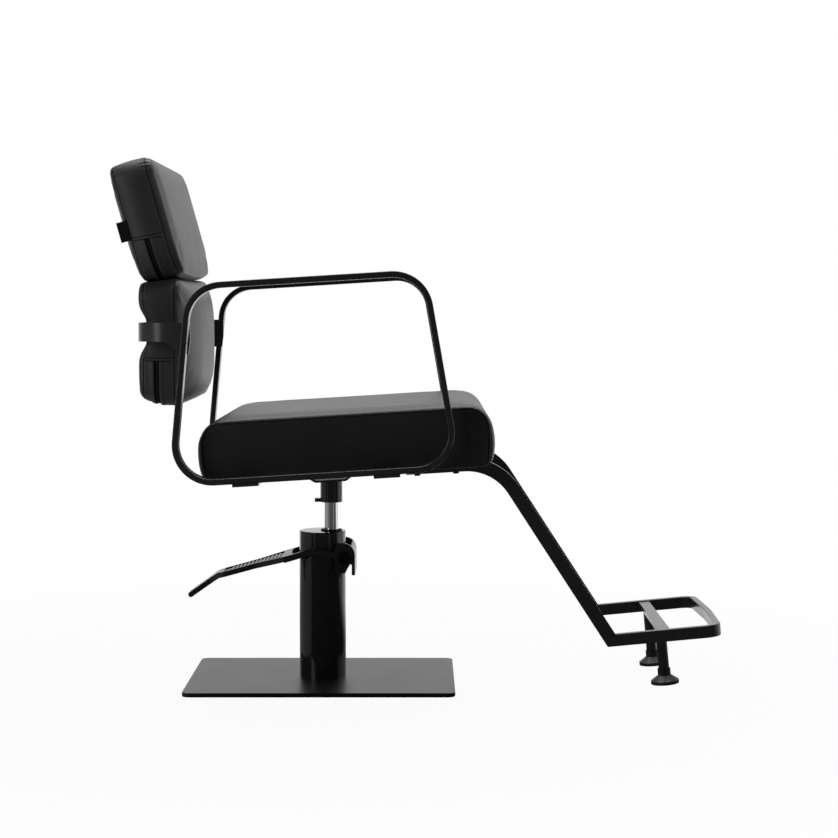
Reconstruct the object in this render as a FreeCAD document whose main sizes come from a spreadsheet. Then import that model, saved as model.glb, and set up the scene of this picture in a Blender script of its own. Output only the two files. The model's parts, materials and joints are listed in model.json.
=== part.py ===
"""Hairdressing chair with a hydraulic column, a two-pad back, loop arms and a footrest.

The chair faces +X, +Z is up, and the origin is on the floor under the column's axis.
Sizes are millimetres and degrees. The sitter's right hand is at -Y.
"""
import FreeCAD, Part

import math
import os
import re

import Sketcher
from FreeCAD import Placement, Rotation, Vector

# Driving sizes
SIZES = {
    # Base plate on the floor
    "base_length": 500,
    "base_width": 345,
    "base_thick": 8,
    "base_corner": 14,
    "base_bevel": 1,
    # Pump column, whose lifting rod stands ahead of the column's axis
    "column_diameter": 88,
    "column_wall": 2.5,
    "column_split": 198,
    "head_top": 278,
    "cap_thick": 8,
    "cap_round": 2,
    "reservoir_wall": 3,
    "flange_thick": 12,
    "flange_screw": 8,
    "flange_screw_head": 15,
    "flange_screw_sink": 5,
    "flange_screw_circle": 62,
    "tube_bore": 34,
    "tube_wall": 4,
    "tube_gap": 0.2,
    "gland_length": 16,
    "wiper_width": 6,
    "wiper_lip": 2,
    # Lifting rod and piston, as they stand with the seat near its lowest place
    "rod_diameter": 28,
    "rod_short": 4,
    "spigot_diameter": 20,
    "spigot_tail": 8,
    "clip_thick": 3,
    "clip_width": 5,
    "piston_bottom": 92,
    "piston_length": 26,
    "seal_height": 5,
    "seal_depth": 3,
    "socket_diameter": 42.3,
    "socket_bottom": 340.5,
    "socket_tab_reach": 10,
    "socket_tab_width": 12,
    "socket_tab_height": 7,
    # Pump block, plunger and pedal, about the pedal's pivot
    "pivot_x": 42,
    "pivot_z": 239.5,
    "pivot_bolt": 10,
    "pivot_bolt_head": 23,
    "pivot_head_thick": 6,
    "pivot_bolt_grip": 18,
    "ear_back": 17.5,
    "ear_drop": 30,
    "block_front": 10.5,
    "block_rise": 9,
    "block_crown": 13,
    "block_toe": 8,
    "block_brow": 6,
    "block_round": 3,
    "ear_round": 2,
    "block_screw": 5,
    "block_screw_drop": 18,
    "block_screw_spread": 28,
    "plunger_diameter": 10,
    "plunger_length": 13,
    "plunger_rise": 8,
    "plunger_reach": 13.5,
    "pedal_plate": 6,
    "pedal_side_gap": 2,
    "bush_wall": 3,
    "hood_reach": 21.2,
    "hood_drop": 32.7,
    "hood_round": 22,
    "hood_lift": 5.5,
    "hood_sweep": 46,
    "hood_lip": 0.6,
    "striker_width": 16,
    "striker_height": 10,
    "crest_x": -12,
    "crest_z": 259,
    "crest_round": 40,
    "crest_under_round": 30,
    "neck_back": 17,
    "neck_rise": 9.4,
    "neck_round": 5,
    "cheek_top_back": 14,
    "cheek_heel_back": 16,
    "cheek_heel_drop": 3,
    "cheek_round": 6,
    "cheek_foot_back": 9,
    "cheek_foot_drop": 12,
    "cheek_foot_round": 8,
    "cheek_inner_round": 3,
    "pedal_bar": 12,
    "web_x": -64,
    "web_z": 243.4,
    "web_thick": 12,
    "tread_width": 60,
    "tread_slope": 15.2,
    "tread_run": 134,
    "tip_slope": 35.3,
    "tip_run": 70,
    "tip_width": 34,
    "tread_bar": 10,
    "tread_bend_round": 24,
    "tread_under_round": 14,
    "tread_taper": 56,
    "tread_shoulder": 12,
    "shoulder_round": 16,
    "tip_over": 8,
    "tip_round": 12,
    "tread_rim": 4,
    "tread_pocket": 2.4,
    "pocket_run": 116,
    "rib_count": 13,
    "rib_pitch": 7.6,
    "rib_width": 3.6,
    "rib_height": 1.8,
    "rib_sink": 1,
    "rib_start": 14,
    # Tilted deck: the plane under the arm loops and the seat
    "deck_height": 412.9,
    "seat_tilt": 3.5,
    "bracket_depth": 29,
    "bracket_thick": 4,
    "bracket_bend": 4,
    "bracket_floor": 58,
    "bracket_mouth": 132,
    "bracket_reach": 172,
    "bracket_length": 130,
    "bracket_bolt": 8,
    "bracket_bolt_x": 76,
    "bracket_bolt_y": 50,
    "bracket_nut": 13,
    "bracket_nut_thick": 7,
    "bracket_bolt_tail": 4,
    "flat_width": 46,
    "flat_thick": 5,
    "rear_flat_x": -135,
    "front_flat_x": 111,
    "flat_screw": 5,
    "flat_screw_y": 190,
    "screw_head": 12,
    "screw_head_thick": 3,
    "screw_short": 1,
    "under_board_thick": 10,
    "under_board_inset": 5,
    "under_board_back": -170,
    "under_board_front": 138,
    "board_thick": 12,
    "board_back": -196,
    "board_front": 280,
    "board_width": 500,
    # Seat cushion, on the deck
    "seat_back": -221,
    "seat_front": 303.5,
    "seat_width": 536,
    "seat_side": 98,
    "seat_crown": 21,
    "seat_bulge": 11,
    "seat_front_round": 48,
    "seat_back_round": 44,
    "seat_foot_round": 32,
    "seat_seam_inset": 5,
    "seat_edge": 12,
    # Arm loops, on the deck
    "arm_gap": 18,
    "arm_bar": 11,
    "arm_width": 28,
    "arm_height": 352,
    "arm_rear_foot": -270,
    "arm_rear_top": -215.5,
    "arm_front_foot": 241.4,
    "arm_front_top": 202,
    "arm_corner": 70,
    "arm_round": 2.5,
    # Back band and the pads it carries
    "band_height": 33,
    "band_bottom": 650,
    "band_thick": 5,
    "band_back": -313,
    "band_corner": 60,
    "band_end": -215,
    "gusset_drop": 22,
    "gusset_long": 42,
    "gusset_short": 20,
    "gusset_slant": 3,
    "band_bolt": 6,
    "band_bolt_head": 14,
    "band_bolt_head_thick": 3.5,
    "band_bolt_y": 150,
    "lower_width": 456,
    "lower_bottom": 534.5,
    "lower_top": 753,
    "lower_thick": 74,
    "lower_crown": 14,
    "lower_lobe": 5,
    "upper_width": 472,
    "upper_foot": -3,
    "upper_height": 206,
    "upper_thick": 74,
    "upper_crown": 11,
    "upper_lean": 15.5,
    "pad_corner": 30,
    "pad_draw": 4,
    "pad_swell": 6,
    "lower_rise": 4,
    "pad_back_roll": 9,
    "pad_front_roll": 18,
    "pad_roll_inset": 9,
    "pad_waist": 3,
    "cover_thick": 2.5,
    "back_board_thick": 10,
    "back_board_margin": 36,
    "link_stand": 11,
    "pad_gap": 8,
    "link_thick": 4,
    "link_width": 30,
    "link_span": 200,
    "link_down": 150,
    "link_up": 140,
    "link_screw": 4,
    "link_screw_head": 9,
    "link_screw_head_thick": 2,
    "link_screw_gap": 50,
    "link_screw_end": 20,
    "tag_width": 21,
    "tag_height": 36,
    "tag_thick": 1.2,
    "tag_proud": 14,
    "tag_foot": 66,
    # Footrest legs, hoop and levelling feet
    "leg_span": 336,
    "leg_width": 24.5,
    "leg_thick": 12,
    "leg_start": 143,
    "leg_lean": 33,
    "leg_bend": 100,
    "leg_screw": 6,
    "leg_screw_front": 90,
    "leg_screw_back": 20,
    "bar_round": 2,
    "rest_x": 527,
    "rest_z": 92.8,
    "rest_tilt": 5.3,
    "rest_length": 216,
    "rest_height": 22.5,
    "rest_corner": 30,
    "rest_bow": 6,
    "cross_x": 107,
    "cross_width": 20,
    "cross_thick": 10,
    "cross_sink": 2,
    "foot_span": 186,
    "foot_tube": 20,
    "foot_tube_length": 74,
    "foot_stud": 12,
    "foot_stud_grip": 40,
    "foot_neck": 24,
    "foot_neck_height": 12,
    "foot_disc": 52,
    "foot_rim": 6,
    "foot_height": 28,
    "foot_gap": 0.5,
    # Clearances
    "fit_gap": 0.02,
    "run_gap": 0.05,
    "seat_gap": 0.3,
}

doc = FreeCAD.newDocument("HairdressingChair")
sheet = doc.addObject("Spreadsheet::Sheet", "Sizes")
for row, (alias, number) in enumerate(SIZES.items(), start=1):
    sheet.set(f"A{row}", alias)
    sheet.set(f"B{row}", str(number))
    sheet.setAlias(f"B{row}", alias)
doc.recompute()

sub_parts = []


# Formulas on the sheet's cells

def cell(formula):
    """A formula on size names, written as an expression on the sheet's cells."""
    return re.sub(r"[a-z_]+", lambda word: f"Sizes.{word[0]}" if word[0] in SIZES else word[0], str(formula))


def measure(formula):
    """The formula's value at the present sizes."""
    value = sheet.evalExpression(str(formula))
    return float(getattr(value, "Value", value))


def bind(thing, **formulas):
    """Bind each named property of a document object to a formula."""
    for name, formula in formulas.items():
        thing.setExpression(name, cell(formula))


def settle(thing, place):
    """Bind a document object's place to three formulas."""
    for axis, formula in zip("xyz", place):
        thing.setExpression(f"Placement.Base.{axis}", cell(formula))


# Primitive solids and what is made of them

TURNS = {
    "+Z": Rotation(),
    "-Z": Rotation(Vector(1, 0, 0), 180),
    "+X": Rotation(Vector(0, 1, 0), 90),
    "-X": Rotation(Vector(0, 1, 0), -90),
    "+Y": Rotation(Vector(1, 0, 0), -90),
    "-Y": Rotation(Vector(1, 0, 0), 90),
}


def rod(diameter, length, place, axis="+Z"):
    """A cylinder from place along axis."""
    solid = doc.addObject("Part::Cylinder", "Rod")
    bind(solid, Radius=f"({diameter}) / 2", Height=length)
    solid.Placement = Placement(Vector(), TURNS[axis])
    settle(solid, place)
    return solid


def taper(low, high, length, place, axis="+Z"):
    """A cone frustum from place along axis, with its two diameters."""
    solid = doc.addObject("Part::Cone", "Taper")
    bind(solid, Radius1=f"({low}) / 2", Radius2=f"({high}) / 2", Height=length)
    solid.Placement = Placement(Vector(), TURNS[axis])
    settle(solid, place)
    return solid


def ball(diameter, place):
    """A sphere about place."""
    solid = doc.addObject("Part::Sphere", "Ball")
    bind(solid, Radius=f"({diameter}) / 2")
    settle(solid, place)
    return solid


def hexagon(across_flats, length, place, axis="+Z"):
    """A six-sided prism, such as a nut, from place along axis."""
    solid = doc.addObject("Part::Prism", "Hexagon")
    solid.Polygon = 6
    bind(solid, Circumradius=f"({across_flats}) / 2 / cos(30)", Height=length)
    solid.Placement = Placement(Vector(), TURNS[axis])
    settle(solid, place)
    return solid


def slab(length, width, height, place):
    """A box whose lowest corner is at place."""
    solid = doc.addObject("Part::Box", "Slab")
    bind(solid, Length=length, Width=width, Height=height)
    settle(solid, place)
    return solid


def fuse(*pieces):
    """One solid of several that touch or overlap."""
    joined = doc.addObject("Part::MultiFuse", "Fuse")
    joined.Shapes = list(pieces)
    joined.Refine = True
    return joined


def gather(solids):
    """Several separate solids as one shape."""
    compound = doc.addObject("Part::Compound", "Group")
    compound.Links = list(solids)
    return compound


def cut(base, *tools):
    """The base less its tools."""
    result = doc.addObject("Part::Cut", "Cut")
    result.Base = base
    result.Tool = tools[0] if len(tools) == 1 else gather(tools)
    result.Refine = True
    return result


def common(name, first, second):
    """What two solids share."""
    shared = doc.addObject("Part::Common", name)
    shared.Base = first
    shared.Tool = second
    return shared


def tube(outer, inner, length, place, axis="+Z"):
    """A round tube from place along axis."""
    return cut(rod(outer, length, place, axis), rod(inner, length, place, axis))


def placed(solid, frame):
    """A solid drawn in a frame, put where that frame is."""
    group = gather([solid])
    group.Placement = frame
    return group


def keep(label, solid, frame=None):
    """Name a finished sub-part, put in the frame it was drawn in."""
    finished = solid if frame is None else placed(solid, frame)
    finished.Label = label
    sub_parts.append(finished)


# Sketched plates

def rounded(points, radii):
    """Lines and arcs of a closed outline: each corner's start, centre and end."""
    corners = []
    for index, (point, radius) in enumerate(zip(points, radii)):
        back = (points[index - 1] - point).normalize()
        ahead = (points[(index + 1) % len(points)] - point).normalize()
        half = back.getAngle(ahead) / 2
        reach = radius / math.tan(half)
        middle = (back + ahead).normalize() * (radius / math.sin(half))
        corners.append((point + back * reach, point + middle, point + ahead * reach))
    return corners


def outline(sketch, corners):
    """Draw a closed outline from (x, y, radius) formulas, each bound to the sheet, counter-clockwise."""
    points = [Vector(measure(x), measure(y), 0) for x, y, radius in corners]
    radii = [measure(radius) for x, y, radius in corners]
    count = len(points)
    shape = rounded(points, radii)
    lines = []
    for index in range(count):
        start, finish = shape[index][2], shape[(index + 1) % count][0]
        lines.append(sketch.addGeometry(Part.LineSegment(start, finish), False))

    def dimension(kind, target, position, formula):
        number = sketch.addConstraint(Sketcher.Constraint(kind, -1, 1, target, position, measure(formula)))
        sketch.setExpression(f"Constraints[{number}]", cell(formula))

    for index, (x, y, radius) in enumerate(corners):
        before, after = lines[index - 1], lines[index]
        if radii[index] == 0:
            sketch.addConstraint(Sketcher.Constraint("Coincident", before, 2, after, 1))
            dimension("DistanceX", after, 1, x)
            dimension("DistanceY", after, 1, y)
            continue
        start, centre, finish = shape[index]
        turn = (points[index] - points[index - 1]).cross(points[(index + 1) % count] - points[index]).z
        first, last = (start, finish) if turn > 0 else (finish, start)
        angles = [math.atan2((end - centre).y, (end - centre).x) for end in (first, last)]
        circle = Part.Circle(centre, Vector(0, 0, 1), radii[index])
        arc = sketch.addGeometry(Part.ArcOfCircle(circle, *angles), False)
        ends = (1, 2) if turn > 0 else (2, 1)
        sketch.addConstraint(Sketcher.Constraint("Tangent", before, 2, arc, ends[0]))
        sketch.addConstraint(Sketcher.Constraint("Tangent", arc, ends[1], after, 1))
        number = sketch.addConstraint(Sketcher.Constraint("Radius", arc, radii[index]))
        sketch.setExpression(f"Constraints[{number}]", cell(radius))
        corner = sketch.addGeometry(Part.Point(points[index]), True)
        sketch.addConstraint(Sketcher.Constraint("PointOnObject", corner, 1, before))
        sketch.addConstraint(Sketcher.Constraint("PointOnObject", corner, 1, after))
        dimension("DistanceX", corner, 1, x)
        dimension("DistanceY", corner, 1, y)


def plate(name, plane, outlines, thickness, centred):
    """A padded sketch: its outlines in one plane, with the pad's thickness bound to the sheet."""
    body = doc.addObject("PartDesign::Body", name)
    sketch = body.newObject("Sketcher::SketchObject", f"{name}Outline")
    support = [feature for feature in body.Origin.OriginFeatures if feature.Role == plane][0]
    sketch.AttachmentSupport = [(support, "")]
    sketch.MapMode = "FlatFace"
    for corners in outlines:
        outline(sketch, corners)
    pad = body.newObject("PartDesign::Pad", f"{name}Pad")
    pad.Profile = sketch
    pad.Midplane = centred
    bind(pad, Length=thickness)
    doc.recompute()
    return body


def soften(body, radius, normal):
    """Round the edges of a body's flat faces that look along normal, both ways."""
    names = []
    base = body.Tip
    for number, face in enumerate(base.Shape.Faces, start=1):
        flat = face.Surface.TypeId == "Part::GeomPlane"
        if flat and abs(face.normalAt(0, 0).dot(normal)) > math.cos(math.radians(1)):
            names.append(f"Face{number}")
    fillet = body.newObject("PartDesign::Fillet", f"{body.Name}Round")
    fillet.Base = (base, names)
    bind(fillet, Radius=radius)
    doc.recompute()
    return body


def flipped(corners):
    """The same outline drawn the other way round, for a hole or a mirrored copy."""
    return list(reversed(corners))


# Frames in which tilted pieces are drawn

SIDES = {"right": -1, "left": 1}
ARM_SPAN = "(seat_width + 2 * arm_gap + arm_width)"
LINK_X = "(band_back + link_stand)"
LINK_Z = "(lower_top + pad_gap)"
ROD_X = (
    "(column_diameter / 2 - column_wall - seat_gap - reservoir_wall"
    " - tube_bore / 2 - tube_wall - tube_gap)"
)


def leaning(x, z, degrees):
    """A frame at x, z whose own up leans back by degrees."""
    return Placement(Vector(measure(x), 0, measure(z)), Rotation(Vector(0, 1, 0), -measure(degrees)))


def shifted(frame, x, y, z):
    """A frame moved along its own axes."""
    return frame.multiply(Placement(Vector(measure(x), measure(y), measure(z)), Rotation()))


deck = leaning(ROD_X, "deck_height", "seat_tilt")
rest = leaning("rest_x", "rest_z", "rest_tilt")
upper_back = leaning(LINK_X, LINK_Z, "upper_lean")


# Base plate and its flange

FLANGE_SCREW_AT = "flange_screw_circle / 2 * sin(45)"
COVER_BORE = "(column_diameter - 2 * column_wall)"
TANK = f"({COVER_BORE} - 2 * seat_gap)"
FLANGE_TOP = "(base_thick + flange_thick)"


def base_plate():
    half = ("base_length / 2", "base_width / 2")
    corners = [
        (f"-{half[0]}", f"-{half[1]}", "base_corner"),
        (half[0], f"-{half[1]}", "base_corner"),
        (half[0], half[1], "base_corner"),
        (f"-{half[0]}", half[1], "base_corner"),
    ]
    body = plate("BasePlate", "XY_Plane", [corners], "base_thick", False)
    soften(body, "base_bevel", Vector(0, 0, 1))
    holes = []
    for place in screw_ring():
        holes.append(rod("flange_screw + 2 * run_gap", "base_thick", (*place, 0)))
        holes.append(rod("flange_screw_head + 2 * seat_gap", "flange_screw_sink", (*place, 0)))
    keep("base_plate", cut(body, *holes))


def screw_ring():
    """The four places of the flange screws."""
    return [
        (f"{x} * {FLANGE_SCREW_AT}", f"{y} * {FLANGE_SCREW_AT}")
        for x in (-1, 1)
        for y in (-1, 1)
    ]


def pump_flange():
    disc = rod(TANK, "flange_thick", (0, 0, "base_thick"))
    bore = "flange_screw + 2 * fit_gap"
    holes = [rod(bore, "flange_thick", (*place, "base_thick")) for place in screw_ring()]
    keep("pump_flange", cut(disc, *holes))


def flange_screws():
    screws = []
    for place in screw_ring():
        head = rod("flange_screw_head", "flange_screw_sink - seat_gap", (*place, "seat_gap"))
        shank = rod("flange_screw", f"{FLANGE_TOP} - seat_gap", (*place, "seat_gap"))
        screws.append(fuse(head, shank))
    keep("flange_screws", gather(screws))


# Column, tubes and pump head

TUBE = "(tube_bore + 2 * tube_wall)"
CAP_TOP = "(head_top + cap_thick)"
TUBE_TOP = "(head_top - gland_length)"
WIPER = "(rod_diameter + 2 * wiper_width)"
PLUNGER_Z = "(pivot_z + plunger_rise)"


def column():
    height = "column_split - base_thick"
    keep("column_cover", tube("column_diameter", COVER_BORE, height, (0, 0, "base_thick")))
    tank_bore = f"{TANK} - 2 * reservoir_wall"
    keep("reservoir_tube", tube(TANK, tank_bore, f"column_split - {FLANGE_TOP}", (0, 0, FLANGE_TOP)))
    keep("pressure_tube", tube(TUBE, "tube_bore", f"{TUBE_TOP} - {FLANGE_TOP}", (ROD_X, 0, FLANGE_TOP)))


def pump_head():
    block = rod("column_diameter", "head_top - column_split", (0, 0, "column_split"))
    bore = rod(f"{TUBE} + 2 * fit_gap", "head_top - column_split", (ROD_X, 0, "column_split"))
    port = rod("plunger_diameter + 2 * run_gap", "column_diameter / 2", (0, 0, PLUNGER_Z), "+X")
    keep("pump_head", cut(block, bore, port, *screw_holes("block_screw + 2 * fit_gap")))
    gland = tube(TUBE, "rod_diameter + 2 * run_gap", "gland_length", (ROD_X, 0, TUBE_TOP))
    keep("rod_gland", gland)


def head_cap():
    disc = rod("column_diameter", "cap_thick", (0, 0, "head_top"))
    rounded_disc = doc.addObject("Part::Fillet", "CapRound")
    rounded_disc.Base = disc
    doc.recompute()
    top = [
        number
        for number, edge in enumerate(disc.Shape.Edges, start=1)
        if edge.BoundBox.ZMin > measure(CAP_TOP) - measure("cap_round")
    ]
    rounded_disc.Edges = [(number, measure("cap_round"), measure("cap_round")) for number in top]
    hole = rod(f"{WIPER} + 2 * fit_gap", "cap_thick", (ROD_X, 0, "head_top"))
    keep("head_cap", cut(rounded_disc, hole))
    wiper = tube(WIPER, "rod_diameter + 2 * run_gap", "cap_thick + wiper_lip", (ROD_X, 0, "head_top"))
    keep("rod_wiper", wiper)


# Pump block, with its ears beside the column

EAR_OUT = "(column_diameter / 2 + pedal_side_gap - seat_gap)"
CHEEK_IN = "(column_diameter / 2 + pedal_side_gap)"
CHEEK_OUT = f"({CHEEK_IN} + pedal_plate)"
PIVOT_DEPTH = "(pivot_bolt_grip + pedal_plate)"
PIVOT_START = f"({CHEEK_OUT} - {PIVOT_DEPTH})"
OUTWARD = ((-1, "-Y"), (1, "+Y"))


def screw_holes(diameter):
    """Bores along X for the two screws that hold the block on the head."""
    places = [(0, f"{side} * block_screw_spread / 2", "pivot_z - block_screw_drop") for side in (-1, 1)]
    return [rod(diameter, "pivot_x + block_front", place, "+X") for place in places]


def pump_block():
    corners = [
        ("pivot_x - ear_back", "pivot_z - ear_drop", "ear_round"),
        ("pivot_x + block_front - block_toe", "pivot_z - ear_drop", "ear_round"),
        ("pivot_x + block_front", "pivot_z - ear_drop / 2", "block_round"),
        ("pivot_x + block_front", "pivot_z + block_rise", "block_round"),
        ("pivot_x + block_front - block_brow", "pivot_z + block_crown", "block_round"),
        ("pivot_x - ear_back", "pivot_z + block_crown", "ear_round"),
    ]
    body = plate("PumpBlock", "XZ_Plane", [corners], f"2 * {EAR_OUT}", True)
    column_bore = rod("column_diameter + 2 * fit_gap", "head_top", (0, 0, 0))
    port = rod("plunger_diameter + 2 * run_gap", "pivot_x + hood_reach", (0, 0, PLUNGER_Z), "+X")
    pivots = [
        rod("pivot_bolt + 2 * fit_gap", PIVOT_DEPTH, ("pivot_x", f"{side} * {PIVOT_START}", "pivot_z"), axis)
        for side, axis in OUTWARD
    ]
    bores = screw_holes("block_screw + 2 * run_gap")
    keep("pump_block", cut(body, column_bore, port, *pivots, *bores))


def block_screws():
    start = f"({TUBE} / 2 + {ROD_X} + seat_gap)"
    height = "pivot_z - block_screw_drop"
    places = [(start, f"{side} * block_screw_spread / 2", height) for side in (-1, 1)]
    length = f"pivot_x + block_front - {start}"
    keep("block_screws", gather([rod("block_screw", length, place, "+X") for place in places]))


def pivot_bolts():
    bolts = []
    for side, axis in OUTWARD:

        def along(depth):
            return "pivot_x", f"{side} * ({depth} + seat_gap)", "pivot_z"

        shank = rod("pivot_bolt", PIVOT_DEPTH, along(PIVOT_START), axis)
        head = rod("pivot_bolt_head", "pivot_head_thick", along(CHEEK_OUT), axis)
        socket = hexagon("pivot_bolt", "pivot_head_thick", along(f"{CHEEK_OUT} + pivot_head_thick / 2"), axis)
        bolts.append(cut(fuse(shank, head), socket))
    keep("pivot_bolts", gather(bolts))


def pump_plunger():
    start = "pivot_x + plunger_reach - seat_gap - plunger_length"
    straight = rod("plunger_diameter", "plunger_length - plunger_diameter / 2", (start, 0, PLUNGER_Z), "+X")
    nose = ball("plunger_diameter", (f"{start} + plunger_length - plunger_diameter / 2", 0, PLUNGER_Z))
    keep("pump_plunger", fuse(straight, nose))


# Pedal

HOOD_FRONT = "(pivot_x + hood_reach)"
HOOD_INNER = f"({HOOD_FRONT} - pedal_plate)"
BEND_Z = "(pivot_z + hood_lift)"
WEB_LEFT = "(web_x - web_thick / 2)"
WEB_RIGHT = "(web_x + web_thick / 2)"


def pedal_arms():
    rise = "tan(tread_slope)"
    bush = "pivot_bolt + 2 * run_gap + 2 * bush_wall"
    corners = [
        (WEB_RIGHT, f"web_z - pedal_bar + web_thick / 2 * {rise}", 0),
        ("crest_x", "crest_z - pedal_bar", "crest_under_round"),
        ("pivot_x - cheek_heel_back", "pivot_z - cheek_heel_drop", "cheek_round"),
        ("pivot_x - cheek_foot_back", "pivot_z - cheek_foot_drop", "cheek_foot_round"),
        (HOOD_INNER, "pivot_z - cheek_foot_drop", "cheek_inner_round"),
        (HOOD_INNER, "pivot_z - hood_drop", 0),
        (HOOD_FRONT, "pivot_z - hood_drop", 0),
        (HOOD_FRONT, f"{BEND_Z} + hood_round", "hood_round"),
        ("pivot_x - cheek_top_back", f"{BEND_Z} + hood_round", "cheek_round"),
        ("pivot_x - neck_back", "pivot_z + neck_rise", "neck_round"),
        ("crest_x", "crest_z", "crest_round"),
        (WEB_RIGHT, f"web_z + web_thick / 2 * {rise}", 0),
    ]
    for side, sign in SIDES.items():
        body = plate(f"{side.title()}Cheek", "XZ_Plane", [corners], "pedal_plate", True)
        body.Placement.Base = Vector(0, sign * (measure(CHEEK_IN) + measure("pedal_plate") / 2), 0)
        bore_place = ("pivot_x", f"-{CHEEK_OUT}", "pivot_z")
        bore = rod(f"{bush} + 2 * fit_gap", f"2 * {CHEEK_OUT}", bore_place, "+Y")
        keep(f"{side}_pedal_arm", cut(body, bore))
    bushes = [
        tube(bush, "pivot_bolt + 2 * run_gap", "pedal_plate", ("pivot_x", place, "pivot_z"), "+Y")
        for place in (f"-{CHEEK_OUT}", CHEEK_IN)
    ]
    keep("pedal_bushes", gather(bushes))


def pedal_hood():
    inner_round = "(hood_round - pedal_plate)"

    def lip_end(radius):
        x = f"{HOOD_FRONT} - hood_round + {radius} * cos(hood_sweep) - hood_lip * sin(hood_sweep)"
        return x, f"{BEND_Z} + {radius} * sin(hood_sweep) + hood_lip * cos(hood_sweep)", 0

    corners = [
        (HOOD_INNER, "pivot_z - hood_drop", 0),
        (HOOD_FRONT, "pivot_z - hood_drop", 0),
        (HOOD_FRONT, f"{BEND_Z} + hood_round * tan(hood_sweep / 2)", "hood_round"),
        lip_end("hood_round"),
        lip_end(inner_round),
        (HOOD_INNER, f"{BEND_Z} + {inner_round} * tan(hood_sweep / 2)", inner_round),
    ]
    body = plate("PedalHood", "XZ_Plane", [corners], f"2 * {CHEEK_IN}", True)
    striker_depth = f"({HOOD_INNER} - pivot_x - plunger_reach)"
    place = ("pivot_x + plunger_reach", "-striker_width / 2", f"{PLUNGER_Z} - striker_height / 2")
    striker = slab(f"{striker_depth} + pedal_plate / 2", "striker_width", "striker_height", place)
    keep("pedal_hood", fuse(body, striker))


def pedal_tread():
    web_top = "(web_z - web_thick / 2 * tan(tread_slope))"
    bend_x = f"({WEB_LEFT} - tread_run * cos(tread_slope))"
    bend_z = f"({web_top} - tread_run * sin(tread_slope))"
    tip_x = f"({bend_x} - tip_run * cos(tip_slope))"
    tip_z = f"({bend_z} - tip_run * sin(tip_slope))"
    lean = "((tread_slope + tip_slope) / 2)"
    under_bend = (
        f"{bend_x} + tread_bar * sin({lean}) / cos((tip_slope - tread_slope) / 2)",
        f"{bend_z} - tread_bar * cos({lean}) / cos((tip_slope - tread_slope) / 2)",
    )
    nose = "(tread_bar * 0.48)"
    corners = [
        (WEB_LEFT, web_top, 0),
        (bend_x, bend_z, "tread_bend_round"),
        (tip_x, tip_z, nose),
        (f"{tip_x} + tread_bar * sin(tip_slope)", f"{tip_z} - tread_bar * cos(tip_slope)", nose),
        (*under_bend, "tread_under_round"),
        (WEB_LEFT, f"{web_top} - tread_bar / cos(tread_slope)", 0),
    ]
    bar = plate("TreadBar", "XZ_Plane", [corners], f"2 * {CHEEK_OUT}", True)
    half, tip_half = "tread_width / 2", "tip_width / 2"
    plan = [
        (f"{WEB_LEFT} - tread_taper", f"-{half}", "shoulder_round"),
        (WEB_LEFT, f"-{CHEEK_OUT}", 0),
        (WEB_LEFT, CHEEK_OUT, 0),
        (f"{WEB_LEFT} - tread_taper", half, "shoulder_round"),
        (f"{bend_x} + tread_shoulder", half, "shoulder_round"),
        (f"{bend_x} - tread_shoulder", tip_half, "shoulder_round"),
        (f"{tip_x} - tip_over", tip_half, "tip_round"),
        (f"{tip_x} - tip_over", f"-{tip_half}", "tip_round"),
        (f"{bend_x} - tread_shoulder", f"-{tip_half}", "shoulder_round"),
        (f"{bend_x} + tread_shoulder", f"-{half}", "shoulder_round"),
    ]
    plan_body = plate("TreadPlan", "XY_Plane", [plan], "pivot_z + hood_reach", False)
    tread = common("TreadTrim", bar, plan_body)
    rib_length = "(tread_width - 2 * tread_rim)"
    floor = "(tread_pocket + rib_sink)"
    start = leaning(WEB_LEFT, web_top, "tread_slope")
    inner = [
        (f"{WEB_LEFT} - tread_rim", f"{CHEEK_OUT} - 2 * tread_rim", 0),
        (f"{WEB_LEFT} - tread_taper", f"{rib_length} / 2", 0),
        (f"{WEB_LEFT} - pocket_run", f"{rib_length} / 2", 0),
        (f"{WEB_LEFT} - pocket_run", f"-{rib_length} / 2", 0),
        (f"{WEB_LEFT} - tread_taper", f"-{rib_length} / 2", 0),
        (f"{WEB_LEFT} - tread_rim", f"-{CHEEK_OUT} + 2 * tread_rim", 0),
    ]
    inner_body = plate("PocketPlan", "XY_Plane", [inner], "pivot_z + hood_reach", False)
    corner = ("-tread_run", f"-{CHEEK_OUT}", "-tread_pocket")
    above = slab("tread_run", f"2 * {CHEEK_OUT}", "2 * tread_pocket", corner)
    pocket = common("TreadPocket", inner_body, placed(above, start))
    ribs = []
    for index in range(int(measure("rib_count"))):
        along = f"(rib_start + {index} * rib_pitch)"
        corner = (f"-{along}", f"-{rib_length} / 2", f"-{floor}")
        ribs.append(placed(slab("rib_width", rib_length, "rib_height + rib_sink", corner), start))
    keep("pedal_tread", fuse(cut(tread, pocket), *ribs))
    web_rise = "web_thick / 2 * tan(tread_slope)"
    web = [
        (WEB_LEFT, web_top, 0),
        (WEB_RIGHT, f"web_z + {web_rise}", 0),
        (WEB_RIGHT, f"web_z - pedal_bar + {web_rise}", 0),
        (WEB_LEFT, f"{web_top} - pedal_bar", 0),
    ]
    keep("pedal_web", plate("PedalWeb", "XZ_Plane", [web], f"2 * {CHEEK_OUT}", True))


# Lifting rod and what turns with it

PISTON_TOP = "(piston_bottom + piston_length)"


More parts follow.
